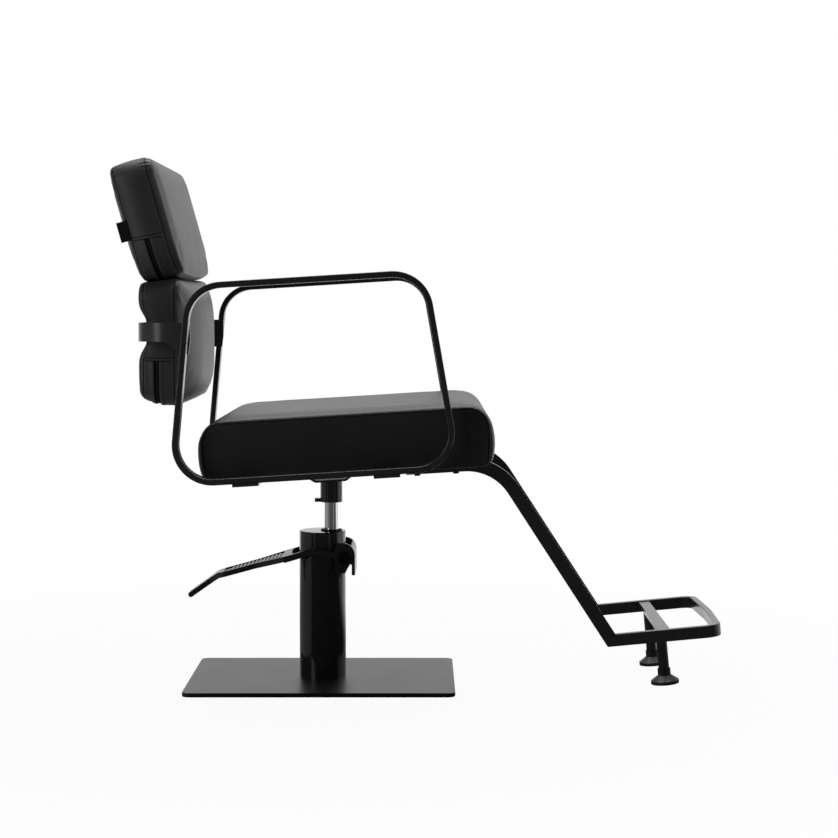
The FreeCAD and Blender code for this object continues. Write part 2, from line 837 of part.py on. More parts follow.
def lifting_rod():
    seal_low = "piston_bottom + piston_length / 2 - seal_height / 2"
    piston_outer = "tube_bore - 2 * run_gap"
    bore = "spigot_diameter + 2 * run_gap"
    ring = tube(piston_outer, bore, "piston_length", (ROD_X, 0, "piston_bottom"))
    groove = tube("tube_bore + 1", "tube_bore - 2 * seal_depth", "seal_height", (ROD_X, 0, seal_low))
    keep("piston", cut(ring, groove))
    seal_inner = "tube_bore - 2 * seal_depth + 2 * fit_gap"
    seal_place = (ROD_X, 0, f"{seal_low} + fit_gap")
    keep("piston_seal", tube(piston_outer, seal_inner, "seal_height - 2 * fit_gap", seal_place))
    foot = "(piston_bottom - spigot_tail)"
    shoulder = f"({PISTON_TOP} + seat_gap)"
    top = "(deck_height - bracket_depth - rod_short)"
    main = rod("rod_diameter", f"{top} - {shoulder}", (ROD_X, 0, shoulder))
    spigot = rod("spigot_diameter", f"{shoulder} - {foot} + 1", (ROD_X, 0, foot))
    keep("piston_rod", fuse(main, spigot))
    clip_inner = "spigot_diameter + 2 * fit_gap"
    clip_place = (ROD_X, 0, "piston_bottom - seat_gap - clip_thick")
    keep("rod_clip", tube("spigot_diameter + 2 * clip_width", clip_inner, "clip_thick", clip_place))


def rod_socket():
    height = "deck_height - socket_bottom"
    outer = rod("socket_diameter", height, (ROD_X, 0, "socket_bottom"))
    tab_x = f"{ROD_X} - socket_diameter / 2 - socket_tab_reach"
    tab_place = (tab_x, "-socket_tab_width / 2", "socket_bottom")
    tab = slab("socket_tab_reach + socket_diameter / 4", "socket_tab_width", "socket_tab_height", tab_place)
    bore = rod("rod_diameter + 2 * fit_gap", height, (ROD_X, 0, "socket_bottom"))
    above_place = ("-socket_diameter", "-socket_diameter", "-bracket_depth")
    above = slab("2 * socket_diameter", "2 * socket_diameter", "2 * bracket_depth", above_place)
    keep("rod_socket", cut(fuse(outer, tab), bore, placed(above, deck)))


# Bracket, cross flats and boards under the seat

def bracket_places():
    return [(f"{x} * bracket_bolt_x", f"{y} * bracket_bolt_y") for x in (-1, 1) for y in (-1, 1)]


def flat_screw_places():
    return [(x, f"{y} * flat_screw_y") for x in ("rear_flat_x", "front_flat_x") for y in (-1, 1)]


def seat_bracket():
    floor, mouth, reach = "bracket_floor / 2", "bracket_mouth / 2", "bracket_reach / 2"
    ease = "bracket_thick * tan(20)"
    outer_bend = "bracket_bend + bracket_thick"
    right = [
        (floor, "-bracket_depth", outer_bend),
        (mouth, "-bracket_thick", "bracket_bend"),
        (reach, "-bracket_thick", 0),
        (reach, 0, 0),
        (f"{mouth} - {ease}", 0, outer_bend),
        (f"{floor} - {ease}", "bracket_thick - bracket_depth", "bracket_bend"),
    ]
    corners = right + [(f"-({x})", z, radius) for x, z, radius in flipped(right)]
    body = plate("SeatBracket", "XZ_Plane", [corners], "bracket_length", True)
    bore = "bracket_bolt + 2 * run_gap"
    holes = [rod(bore, "bracket_depth", (*place, "-bracket_depth")) for place in bracket_places()]
    keep("seat_bracket", cut(body, *holes), deck)
    bolts = []
    for place in bracket_places():
        low = "-(bracket_thick + bracket_nut_thick + bracket_bolt_tail)"
        shank = rod("bracket_bolt", f"under_board_thick - screw_short - {low}", (*place, low))
        nut = hexagon("bracket_nut", "bracket_nut_thick", (*place, "-bracket_thick - bracket_nut_thick"))
        bolts.append(fuse(shank, nut))
    keep("bracket_bolts", gather(bolts), deck)


def cross_flats():
    span = f"({ARM_SPAN} + arm_width)"
    for name, middle in (("rear", "rear_flat_x"), ("front", "front_flat_x")):
        place = (f"{middle} - flat_width / 2", f"-{span} / 2", "-flat_thick")
        bar = slab("flat_width", span, "flat_thick", place)
        spots = [(middle, f"{side} * flat_screw_y", "-flat_thick") for side in (-1, 1)]
        holes = [rod("flat_screw + 2 * run_gap", "flat_thick", spot) for spot in spots]
        keep(f"{name}_cross_flat", cut(bar, *holes), deck)
    screws = []
    for place in flat_screw_places():
        low = "-(flat_thick + screw_head_thick)"
        head = rod("screw_head", "screw_head_thick", (*place, low))
        shank = rod("flat_screw", f"under_board_thick - screw_short - {low}", (*place, low))
        screws.append(fuse(head, shank))
    keep("flat_screws", gather(screws), deck)


def seat_boards():
    width = "(board_width - 2 * under_board_inset)"
    length = "under_board_front - under_board_back"
    under = slab(length, width, "under_board_thick", ("under_board_back", f"-{width} / 2", 0))
    drills = [("bracket_bolt", place) for place in bracket_places()]
    drills += [("flat_screw", place) for place in flat_screw_places()]
    holes = [rod(f"{size} + 2 * fit_gap", "under_board_thick", (*place, 0)) for size, place in drills]
    keep("under_board", cut(under, *holes), deck)
    board_place = ("board_back", "-board_width / 2", "under_board_thick")
    board = slab("board_front - board_back", "board_width", "board_thick", board_place)
    spots = [
        (x, f"{sign} * leg_span / 2", "under_board_thick")
        for sign in SIDES.values()
        for x in ("leg_start + leg_screw_back", "leg_start + leg_screw_front")
    ]
    pilot = [rod("leg_screw + 2 * fit_gap", "board_thick - screw_short", spot) for spot in spots]
    keep("seat_board", cut(board, *pilot), deck)


# Cushions, lofted through sections of lines and arcs

def bowed(start, finish, bulge, out):
    """An edge from start to finish, bowed by bulge along out; straight where there is no bulge."""
    if abs(bulge) < measure("fit_gap"):
        return Part.makeLine(start, finish)
    return Part.Arc(start, (start + finish) / 2 + out * bulge, finish).toShape()


def section(place, across, along, box, radii, bulges):
    """A closed section in the plane of across and along: a rounded box with bowed sides.

    box is (low across, high across, low along, high along). radii go counter-clockwise from the
    low-low corner. bulges are for the low-along, high-across, high-along and low-across sides.
    """
    low_a, high_a, low_b, high_b = box

    def at(a, b):
        return place + across * a + along * b

    half = math.sqrt(0.5)
    ends = []
    for (a, b), (sa, sb), radius in zip(
        ((low_a, low_b), (high_a, low_b), (high_a, high_b), (low_a, high_b)),
        ((1, 1), (-1, 1), (-1, -1), (1, -1)),
        radii,
    ):
        flat, upright = at(a + sa * radius, b), at(a, b + sb * radius)
        middle = at(a + sa * radius * (1 - half), b + sb * radius * (1 - half))
        ends.append((flat, middle, upright))
    order = [ends[0][::-1], ends[1], ends[2][::-1], ends[3]]
    outward = (along * -1, across, along, across * -1)
    edges = []
    for index, (start, middle, finish) in enumerate(order):
        edges.append(Part.Arc(start, middle, finish).toShape())
        edges.append(bowed(finish, order[(index + 1) % 4][0], bulges[index], outward[index]))
    return Part.Wire(edges)


def seat_cushion():
    """End caps at both sides; the top panel wraps over the front and the back and is crowned."""
    half = measure("seat_width / 2")
    seam, bulge, crown = measure("seat_seam_inset"), measure("seat_bulge"), measure("seat_crown")
    back, front, side = measure("seat_back"), measure("seat_front"), measure("seat_side")
    corners = ("seat_foot_round", "seat_foot_round", "seat_front_round", "seat_back_round")
    radii = [measure(name) for name in corners]
    wires = []
    stations = [
        (0, 1.6, 0),
        (0.25, 0.7, 0.05),
        (0.5, 0.95, 0.1),
        (1, 0.5, 0.25),
        (5, 0.15, 0.72),
        (12.5, 0.03, 0.95),
    ]
    edge = measure("seat_edge")
    rows = [(-half + depth * edge, draw, swell) for depth, draw, swell in stations]
    rows += [(0.0, 0.0, 1.0)] + [(-y, draw, swell) for y, draw, swell in reversed(rows)]
    for y, draw, swell in rows:
        inset = draw * seam + (1 - swell) * bulge * 0.2
        top = side + crown * 0.72 * swell - draw * seam * 0.5
        box = (back + inset, front - inset, draw * seam * 0.4, top)
        bulges = (0, 0, crown * 0.28 * swell, 0)
        wires.append(section(Vector(0, y, 0), Vector(1, 0, 0), Vector(0, 0, 1), box, radii, bulges))
    solid = Part.makeLoft(wires, True, True)
    gap = measure("seat_gap")
    length = measure("board_front - board_back") + 2 * gap
    width = measure("board_width") + 2 * gap
    pocket = Part.makeBox(length, width, measure("under_board_thick + board_thick") + gap)
    pocket.translate(Vector(measure("board_back") - gap, -width / 2, 0))
    feature = doc.addObject("Part::Feature", "SeatCushion")
    feature.Shape = solid.cut(pocket)
    keep("seat_cushion", cut(feature, *leg_reliefs()), deck)


def pad_solid(width, bottom, top, thick, crown, lobe, bows, rise):
    """A boxed back pad with its back at x = 0.

    The gusset sides are drawn in between seams and the front is crowned. bows swell the bottom and top
    edges and rise lifts the top, each of them growing from nothing at the back.
    """
    corner, draw = measure("pad_corner"), measure("pad_draw")
    back_roll, front_roll = measure("pad_back_roll"), measure("pad_front_roll")
    inset, waist = measure("pad_roll_inset"), measure("pad_waist")
    seam = thick - front_roll
    stations = [
        (-lobe, inset * 2.4, 0.3),
        (-lobe * 0.7, inset * 1.2, 0.6),
        (back_roll * 0.25, inset * 0.4, 1),
        (back_roll, 0, 1),
        ((back_roll + seam) / 2, waist, 1),
        (seam, 0, 1),
        (seam + front_roll * 0.55, inset * 0.25, 1),
        (thick, inset * 1.3, 0.8),
        (thick + crown * 0.45, inset * 3.6, 0.5),
        (thick + crown * 0.8, inset * 6, 0.3),
        (thick + crown, inset * 9, 0.2),
    ]
    wires = []
    for x, shrink, drawn in stations:
        share = min(max(x / thick, 0), 1)
        high = top + rise * share - shrink * 0.62
        box = (-width / 2 + shrink, width / 2 - shrink, bottom + shrink * 0.62, high)
        bulges = (bows[0] * share, -draw * drawn, bows[1] * share, -draw * drawn)
        wires.append(section(Vector(x, 0, 0), Vector(0, 1, 0), Vector(0, 0, 1), box, [corner] * 4, bulges))
    return Part.makeLoft(wires, True, True)


def hollow(width, bottom, top, back, front):
    """The space inside a pad for its board and links."""
    space = Part.makeBox(front - back, width, top - bottom)
    space.translate(Vector(back, -width / 2, bottom))
    return space


# Back: band, gussets, boards, pads and the links between the two pads

BAND_IN = f"({ARM_SPAN} / 2 - arm_width / 2 - band_thick)"
BAND_OUT = f"({ARM_SPAN} / 2 - arm_width / 2)"
BAND_FACE = "(band_back + band_thick)"
BAND_MIDDLE = "(band_bottom + band_height / 2)"
BOARD_BACK = f"({LINK_X} + link_thick / 2)"
LOWER_BACK = "(band_back + band_thick + seat_gap)"


def back_band():
    inner = "band_corner - band_thick"
    corners = [
        ("band_end", f"-{BAND_OUT}", 0),
        ("band_end", f"-{BAND_IN}", 0),
        (BAND_FACE, f"-{BAND_IN}", inner),
        (BAND_FACE, BAND_IN, inner),
        ("band_end", BAND_IN, 0),
        ("band_end", BAND_OUT, 0),
        ("band_back", BAND_OUT, "band_corner"),
        ("band_back", f"-{BAND_OUT}", "band_corner"),
    ]
    body = plate("BackBand", "XY_Plane", [corners], "band_height", False)
    body.Placement.Base = Vector(0, 0, measure("band_bottom"))
    bore = "band_bolt + 2 * run_gap"
    spots = [("band_back", y, BAND_MIDDLE) for y in band_bolt_places()]
    holes = [rod(bore, "band_thick", spot, "+X") for spot in spots]
    keep("back_band", cut(body, *holes))
    gusset = [
        ("band_end - gusset_short", "-gusset_drop", 0),
        ("band_end - gusset_slant", "-gusset_drop", 0),
        ("band_end", 0, 0),
        ("band_end - gusset_long", 0, 0),
    ]
    for side, sign in SIDES.items():
        wing = plate(f"{side.title()}Gusset", "XZ_Plane", [gusset], "band_thick", True)
        middle = measure(f"{BAND_OUT} - band_thick / 2")
        wing.Placement.Base = Vector(0, sign * middle, measure("band_bottom"))
        keep(f"{side}_band_gusset", wing)


def band_bolt_places():
    return [f"{factor} * band_bolt_y" for factor in (-1, -0.4, 0.4, 1)]


def band_bolts():
    bolts = []
    for y in band_bolt_places():
        head_place = ("band_back - band_bolt_head_thick", y, BAND_MIDDLE)
        head = taper("band_bolt_head * 0.6", "band_bolt_head", "band_bolt_head_thick", head_place, "+X")
        length = f"{BOARD_BACK} + back_board_thick - screw_short - band_back"
        shank = rod("band_bolt", length, ("band_back", y, BAND_MIDDLE), "+X")
        bolts.append(fuse(head, shank))
    keep("band_bolts", gather(bolts))


def back_links():
    """A bent steel strip on each side carries the upper pad on the lower one."""
    half = "link_thick / 2"

    def leaned(across):
        x = f"{across} * cos(upper_lean) - link_up * sin(upper_lean)"
        return x, f"{across} * sin(upper_lean) + link_up * cos(upper_lean)", 0

    corners = [
        (f"-{half}", "-link_down", 0),
        (half, "-link_down", 0),
        (half, f"{half} * tan(upper_lean / 2)", 0),
        leaned(half),
        leaned(f"-{half}"),
        (f"-{half}", f"-{half} * tan(upper_lean / 2)", 0),
    ]
    bore = "link_screw + 2 * run_gap"
    for side, sign in SIDES.items():
        strip = plate(f"{side.title()}Link", "XZ_Plane", [corners], "link_width", True)
        strip.Placement.Base = Vector(measure(LINK_X), sign * measure("link_span / 2"), measure(LINK_Z))
        holes = [drill for pad in LINK_PADS for drill in link_drills(pad, bore, f"-{half}", "link_thick")]
        keep(f"{side}_back_link", cut(strip, *holes))
    low = f"-{half} - link_screw_head_thick"
    screws = []
    for pad in LINK_PADS:
        heads = link_drills(pad, "link_screw_head", low, "link_screw_head_thick")
        length = "link_screw_head_thick + link_thick + back_board_thick - screw_short"
        shanks = link_drills(pad, "link_screw", low, length)
        screws += [fuse(head, shank) for head, shank in zip(heads, shanks)]
    keep("link_screws", gather(screws))


LINK_PADS = {
    "lower": (leaning(LINK_X, LINK_Z, "0"), "-link_down + link_screw_end"),
    "upper": (upper_back, "link_up - link_screw_end - link_screw_gap"),
}


def link_drills(pad, diameter, start, length):
    """Cylinders along a pad's own forward axis at the screws of its two links."""
    frame, height = LINK_PADS[pad]
    heights = (height, f"{height} + link_screw_gap")
    spots = [(y, z) for y in ("-link_span / 2", "link_span / 2") for z in heights]
    return [placed(rod(diameter, length, (start, y, z), "+X"), frame) for y, z in spots]


def board_for(pad, width, height, foot):
    """A pad's board, drilled for its link screws, in the frame of its link."""
    place = ("link_thick / 2", f"-({width}) / 2", foot)
    board = placed(slab("back_board_thick", width, height, place), LINK_PADS[pad][0])
    return cut(board, *link_drills(pad, "link_screw + 2 * fit_gap", "link_thick / 2", "back_board_thick"))


def emptied(solid, width, height, foot, slot_foot, slot_top):
    """A pad in its link's frame, less the room for its board, its links and their screw heads."""
    gap = measure("seat_gap")
    rear = -measure("link_thick / 2 + link_screw_head_thick") - gap
    front = measure("link_thick / 2 + back_board_thick") + gap
    low = measure(foot)
    spaces = [hollow(measure(width) + 2 * gap, low - gap, low + measure(height) + gap, rear, front)]
    slot_width, slot_front = measure("link_width") + 2 * gap, measure("link_thick / 2") + gap
    for sign in SIDES.values():
        slot = hollow(slot_width, slot_foot, slot_top, rear, slot_front)
        slot.translate(Vector(0, sign * measure("link_span / 2"), 0))
        spaces.append(slot)
    return solid.cut(spaces)


def lower_back():
    width = "(lower_width - 2 * back_board_margin)"
    height = "(lower_top - lower_bottom - back_board_margin)"
    foot = f"(lower_bottom - {LINK_Z} + back_board_margin / 2)"
    spots = [(BOARD_BACK, y, BAND_MIDDLE) for y in band_bolt_places()]
    holes = [rod("band_bolt + 2 * fit_gap", "back_board_thick", spot, "+X") for spot in spots]
    keep("lower_back_board", cut(board_for("lower", width, height, foot), *holes))
    bottom, top = measure(f"lower_bottom - {LINK_Z}"), measure(f"lower_top - {LINK_Z}")
    sizes = [measure(f"lower_{name}") for name in ("thick", "crown", "lobe")]
    bows = (0, measure("pad_swell"))
    solid = pad_solid(measure("lower_width"), bottom, top, *sizes, bows, measure("lower_rise"))
    solid.translate(Vector(measure(f"{LOWER_BACK} - {LINK_X}"), 0, 0))
    margin = measure("back_board_margin")
    solid = emptied(solid, width, height, foot, -margin, margin)
    gap, reach = measure("seat_gap"), measure("lower_width")
    band = measure(f"band_bottom - {LINK_Z}")
    back = measure(f"band_back + band_thick - {LINK_X}") + gap
    channel = hollow(reach * 2, band - gap, band + measure("band_height") + gap, back - reach, back)
    bores = [
        Part.makeCylinder(
            measure("band_bolt") / 2 + gap,
            measure(BOARD_BACK) - measure("band_back"),
            Vector(measure(f"band_back - {LINK_X}"), measure(y), measure(f"{BAND_MIDDLE} - {LINK_Z}")),
            Vector(1, 0, 0),
        )
        for y in band_bolt_places()
    ]
    feature = doc.addObject("Part::Feature", "LowerBackCushion")
    feature.Shape = solid.cut([channel] + bores)
    keep("lower_back_cushion", feature, LINK_PADS["lower"][0])


def upper_back_pad():
    width = "(upper_width - 2 * back_board_margin)"
    height = "(upper_height - back_board_margin)"
    foot = "(upper_foot + back_board_margin / 2)"
    keep("upper_back_board", board_for("upper", width, height, foot))
    bottom, top = measure("upper_foot"), measure("upper_foot + upper_height")
    sizes = [measure(name) for name in ("upper_thick", "upper_crown", "cover_thick")]
    bows = (measure("pad_swell") * 2, -measure("pad_draw"))
    solid = pad_solid(measure("upper_width"), bottom, top, *sizes, bows, 0)
    rear = "link_thick / 2 + link_screw_head_thick + seat_gap + cover_thick"
    solid.translate(Vector(-measure(rear), 0, 0))
    margin = measure("back_board_margin")
    feature = doc.addObject("Part::Feature", "UpperBackCushion")
    feature.Shape = emptied(solid, width, height, foot, bottom - margin, bottom + margin)
    keep("upper_back_cushion", feature, upper_back)
    off_middle = "(upper_foot + upper_height / 2 - tag_foot) / (upper_height / 2 - pad_corner)"
    side = f"upper_width / 2 - pad_draw * (1 - ({off_middle}) ^ 2) + seat_gap + tag_thick"
    tag_place = ("-link_thick - tag_proud", f"-({side})", "tag_foot")
    keep("side_tag", slab("tag_width", "tag_thick", "tag_height", tag_place), upper_back)


# Arm loops

def arm_loops():
    outer = [
        Vector(measure("arm_rear_foot"), 0, 0),
        Vector(measure("arm_front_foot"), 0, 0),
        Vector(measure("arm_front_top"), measure("arm_height"), 0),
        Vector(measure("arm_rear_top"), measure("arm_height"), 0),
    ]
    inner = inset_points(outer, measure("arm_bar"))
    loops = [
        [(point.x, point.y, "arm_corner") for point in outer],
        [(point.x, point.y, "arm_corner - arm_bar") for point in inner],
    ]
    for side, sign in SIDES.items():
        body = plate(f"{side.title()}Arm", "XZ_Plane", loops, "arm_width", True)
        soften(body, "arm_round", Vector(0, 1, 0))
        keep(f"{side}_arm", body, shifted(deck, 0, f"{sign} * {ARM_SPAN} / 2", 0))


def inset_points(points, depth):
    """The corners of a counter-clockwise outline moved inwards by depth."""
    moved = []
    for index, point in enumerate(points):
        back = (points[index - 1] - point).normalize()
        ahead = (points[(index + 1) % len(points)] - point).normalize()
        half = back.getAngle(ahead) / 2
        moved.append(point + (back + ahead).normalize() * (depth / math.sin(half)))
    return moved


# Footrest

def leg_heel():
    """Where a leg's rear edge meets the hoop, on the deck, and the slope at which the leg stands there."""
    heel = deck.inverse().multVec(rest.multVec(Vector(0, 0, 0)))
    return heel, math.tan(math.radians(measure("leg_lean - seat_tilt")))


def leg_front(height, gap=0):
    """The place of a leg's front edge at a height on the deck, moved outwards by gap."""
    heel, slope = leg_heel()
    return heel.x + (measure("leg_width") + gap) * math.hypot(1, slope) - (height - heel.z) * slope


def leg_reliefs():
    """What the legs' bends take out of the seat cushion's front lip."""
    gap, start = measure("seat_gap"), measure("leg_start")
    top, low = measure("under_board_thick + seat_gap"), -measure("leg_bend")
    corners = [
        (start, low, 0),
        (leg_front(low, gap), low, 0),
        (leg_front(top, gap), top, "leg_bend + leg_width / 2 + seat_gap"),
        (start, top, 0),
    ]
    bodies = []
    for side, sign in SIDES.items():
        body = plate(f"{side.title()}LegRelief", "XZ_Plane", [corners], "leg_thick + 2 * seat_gap", True)
        body.Placement.Base = Vector(0, sign * measure("leg_span / 2"), 0)
        bodies.append(body)
    return bodies


def legs():
    """Each leg runs under the seat board, bends down and stands on the hoop's rear end."""
    to_deck = deck.inverse()
    heel, slope = leg_heel()
    top, start = measure("under_board_thick"), measure("leg_start")
    back_top = to_deck.multVec(rest.multVec(Vector(0, 0, measure("rest_height"))))
    ahead_top = to_deck.multVec(rest.multVec(Vector(measure("rest_height"), 0, measure("rest_height"))))
    grade = (ahead_top.z - back_top.z) / (ahead_top.x - back_top.x)
    reach = leg_front(0) - back_top.x
    toe_z = (back_top.z + grade * reach) / (1 + grade * slope)
    low = top - measure("leg_width")
    corners = [
        (start, low, 0),
        (heel.x - (low - heel.z) * slope, low, "leg_bend - leg_width / 2"),
        (heel.x, heel.z, 0),
        (back_top.x, back_top.z, 0),
        (leg_front(toe_z), toe_z, 0),
        (leg_front(top), top, "leg_bend + leg_width / 2"),
        (start, top, 0),
    ]
    screws = []
    for side, sign in SIDES.items():
        body = plate(f"{side.title()}Leg", "XZ_Plane", [corners], "leg_thick", True)
        body.Placement.Base = Vector(0, sign * measure("leg_span / 2"), 0)
        y = f"{sign} * leg_span / 2"
        bottom = "under_board_thick - leg_width"
        places = [("leg_start + leg_screw_back", y, bottom), ("leg_start + leg_screw_front", y, bottom)]
        holes = [rod("leg_screw + 2 * run_gap", "leg_width", place) for place in places]
        keep(f"{side}_leg", cut(body, *holes), deck)
        for x, y, z in places:
            head = rod("leg_thick - screw_short", "screw_head_thick", (x, y, f"{z} - screw_head_thick"))
            length = "screw_head_thick + leg_width + board_thick - 2 * screw_short"
            shank = rod("leg_screw", length, (x, y, f"{z} - screw_head_thick"))
            screws.append(fuse(head, shank))
    keep("leg_screws", gather(screws), deck)


def footrest():
    outer = "(leg_span / 2 + leg_thick / 2)"
    inner = "(leg_span / 2 - leg_thick / 2)"
    inner_round = "rest_corner - leg_thick"
    corners = [
        (0, f"-{outer}", 0),
        ("rest_length - rest_bow", f"-{outer}", "rest_corner"),
        ("rest_length", 0, "4 * rest_length"),
        ("rest_length - rest_bow", outer, "rest_corner"),
        (0, outer, 0),
        (0, inner, 0),
        ("rest_length - rest_bow - leg_thick", inner, inner_round),
        ("rest_length - leg_thick", 0, "4 * rest_length"),
        ("rest_length - rest_bow - leg_thick", f"-{inner}", inner_round),
        (0, f"-{inner}", 0),
    ]
    hoop = plate("FootrestHoop", "XY_Plane", [corners], "rest_height", False)
    soften(hoop, "bar_round", Vector(0, 0, 1))
    keep("footrest_hoop", hoop, rest)
    low = "rest_height - cross_sink - cross_thick"
    bar = slab("cross_width", f"2 * {inner}", "cross_thick", ("cross_x - cross_width / 2", f"-{inner}", low))
    keep("footrest_crossbar", bar, rest)
    for side, sign in SIDES.items():
        foot = shifted(rest, "cross_x", f"{sign} * foot_span / 2", low)
        body = tube("foot_tube", "foot_stud + 2 * run_gap", "foot_tube_length", (0, 0, 0), "-Z")
        keep(f"{side}_foot_tube", body, foot)
        stud_place = (0, 0, "-foot_tube_length - foot_gap - foot_height / 2")
        stud = rod("foot_stud", "foot_stud_grip + foot_gap + foot_height / 2", stud_place)
        keep(f"{side}_foot_stud", stud, foot)
        end = "-foot_tube_length - foot_gap"
        neck = rod("foot_neck", "foot_neck_height", (0, 0, end), "-Z")
        flare_height = "foot_height - foot_neck_height - foot_rim"
        flare = taper("foot_neck", "foot_disc", flare_height, (0, 0, f"{end} - foot_neck_height"), "-Z")
        disc = rod("foot_disc", "foot_rim", (0, 0, f"{end} - foot_height + foot_rim"), "-Z")
        socket = rod("foot_stud + 2 * fit_gap", "foot_height / 2 + foot_gap", (0, 0, end), "-Z")
        keep(f"{side}_foot", cut(fuse(neck, flare, disc), socket), foot)


base_plate()
pump_flange()
flange_screws()
column()
pump_head()
head_cap()
pump_block()
block_screws()
pivot_bolts()
pump_plunger()
pedal_arms()
pedal_hood()
pedal_tread()
lifting_rod()
rod_socket()
seat_bracket()
cross_flats()
seat_boards()
seat_cushion()
arm_loops()
back_band()
band_bolts()
back_links()
lower_back()
upper_back_pad()
legs()
footrest()

# Check every object, then write one file per sub-part
doc.recompute()
failed = [thing.Label for thing in doc.Objects if {"Invalid", "Error"} & set(thing.State)]
if failed:
    raise RuntimeError(f"not built: {', '.join(failed)}")
broken = [solid.Label for solid in sub_parts if solid.Shape.isNull() or not solid.Shape.isValid()]
if broken:
    raise RuntimeError(f"no valid shape: {', '.join(broken)}")
os.makedirs("parts", exist_ok=True)
for solid in sub_parts:
    solid.Shape.exportStep(f"parts/{solid.Label}.step")
    print(f"{solid.Label}: {len(solid.Shape.Solids)} solid(s), {solid.Shape.Volume / 1000:.1f} cm3")
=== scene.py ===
# %% [markdown]
# # The looks of a hairdressing chair
#
# The chair's solids are a fixed frame: steel, column, pedal and footrest stay as they are and get
# their finishes here. The three cushions are sewn goods, so each is modelled again as a cover that is
# blown up against its seams. Lengths are metres, +X is where the sitter looks and +Z is up.

# %% Load the frame
import json
import math

import bpy
import numpy as np
from mathutils import Matrix, Vector
from mathutils.bvhtree import BVHTree


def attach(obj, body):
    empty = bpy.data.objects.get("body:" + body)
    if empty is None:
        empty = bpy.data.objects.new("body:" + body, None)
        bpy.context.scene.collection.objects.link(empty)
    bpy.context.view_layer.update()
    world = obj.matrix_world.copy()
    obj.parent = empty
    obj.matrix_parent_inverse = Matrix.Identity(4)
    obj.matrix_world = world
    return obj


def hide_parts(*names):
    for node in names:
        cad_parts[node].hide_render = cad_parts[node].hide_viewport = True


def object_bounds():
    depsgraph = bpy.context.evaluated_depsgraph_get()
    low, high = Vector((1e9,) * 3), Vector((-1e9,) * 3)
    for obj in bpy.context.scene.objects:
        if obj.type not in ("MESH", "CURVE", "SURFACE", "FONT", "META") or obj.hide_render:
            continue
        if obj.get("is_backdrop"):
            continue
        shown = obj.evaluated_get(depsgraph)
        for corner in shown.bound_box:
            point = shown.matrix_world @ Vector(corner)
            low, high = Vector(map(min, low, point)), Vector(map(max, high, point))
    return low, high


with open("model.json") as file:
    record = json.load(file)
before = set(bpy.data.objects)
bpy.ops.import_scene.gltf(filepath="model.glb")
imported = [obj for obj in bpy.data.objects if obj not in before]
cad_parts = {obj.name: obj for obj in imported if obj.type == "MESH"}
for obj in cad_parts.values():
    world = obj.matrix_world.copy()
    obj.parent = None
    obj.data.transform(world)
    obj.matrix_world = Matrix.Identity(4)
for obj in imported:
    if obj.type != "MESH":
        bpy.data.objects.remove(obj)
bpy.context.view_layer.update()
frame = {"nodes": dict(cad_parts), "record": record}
nodes = frame["nodes"]
scene = bpy.context.scene
MM = 0.001
TINY = 1e-9

# %% [markdown]
# ## Camera
#
# The chair is seen from the sitter's right, a little above the arms. A long lens far away keeps the
# two arm loops almost the same size. The camera looks along +Y and is tipped down by a few degrees,
# so that no lens shift is needed.

# %% Camera
LENS = 81.62
SENSOR = 36
EYE = (0.18357, -3.595, 0.7229)
TIP_DOWN = math.radians(3.584)

bpy.ops.object.camera_add(location=EYE, rotation=(math.radians(90) - TIP_DOWN, 0, 0))
camera = bpy.context.object
camera.data.lens = LENS
camera.data.sensor_width = SENSOR
scene.camera = camera
scene.view_settings.view_transform = "Standard"
print(f"camera {LENS} mm at {EYE}")

# %% [markdown]
# ## Values in a node tree
#
# A finish is easier to read as arithmetic than as a list of links. `Value` wraps an output socket and
# its operators add Math nodes, and `Tree.node` adds any other node: first its settings, then what its
# sockets hold or are linked to.

# %% Values and trees
class Value:
    """An output socket. Arithmetic on it adds Math nodes to its tree."""

    def __init__(self, tree, socket):
        self.tree = tree
        self.socket = socket

    def math(self, operation, first, second):
        return self.tree.node("ShaderNodeMath", {"operation": operation}, {0: first, 1: second})

    def __add__(self, other):
        return self.math("ADD", self, other)

    def __sub__(self, other):
        return self.math("SUBTRACT", self, other)

    def __rsub__(self, other):
        return self.math("SUBTRACT", other, self)

    def __mul__(self, other):
        return self.math("MULTIPLY", self, other)

    def __abs__(self):
        return self.math("ABSOLUTE", self, 0)

    def at_least(self, other):
        return self.math("MAXIMUM", self, other)

    __radd__ = __add__
    __rmul__ = __mul__


class Tree:
    """A node tree that is filled by one method."""

    def __init__(self, owner):
        owner.use_nodes = True
        self.nodes = owner.node_tree.nodes
        self.links = owner.node_tree.links

    def feed(self, socket, value):
        """Link a value to a socket, or set the socket to a number or colour."""
        if isinstance(value, Value):
            self.links.new(value.socket, socket)
        else:
            socket.default_value = value

    def node(self, kind, settings=None, inputs=None, output=0):
        """Add a node and return one of its outputs."""
        made = self.nodes.new(kind)
        for name, setting in (settings or {}).items():
            setattr(made, name, setting)
        for name, value in (inputs or {}).items():
            self.feed(made.inputs[name], value)
        return Value(self, made.outputs[output])


print("values and trees ready")

# %% [markdown]
# ## Finishes
#
# Every pattern reads Object coordinates. All pieces sit at the origin, so those are the chair's own
# metres, and a scale of 1000 gives a pattern of about a millimetre. A `Finish` holds one material and
# the few patterns that the chair needs.

# %% Finish
MIX_FACTOR, MIX_FIRST, MIX_SECOND, MIX_RESULT = 0, 6, 7, 2


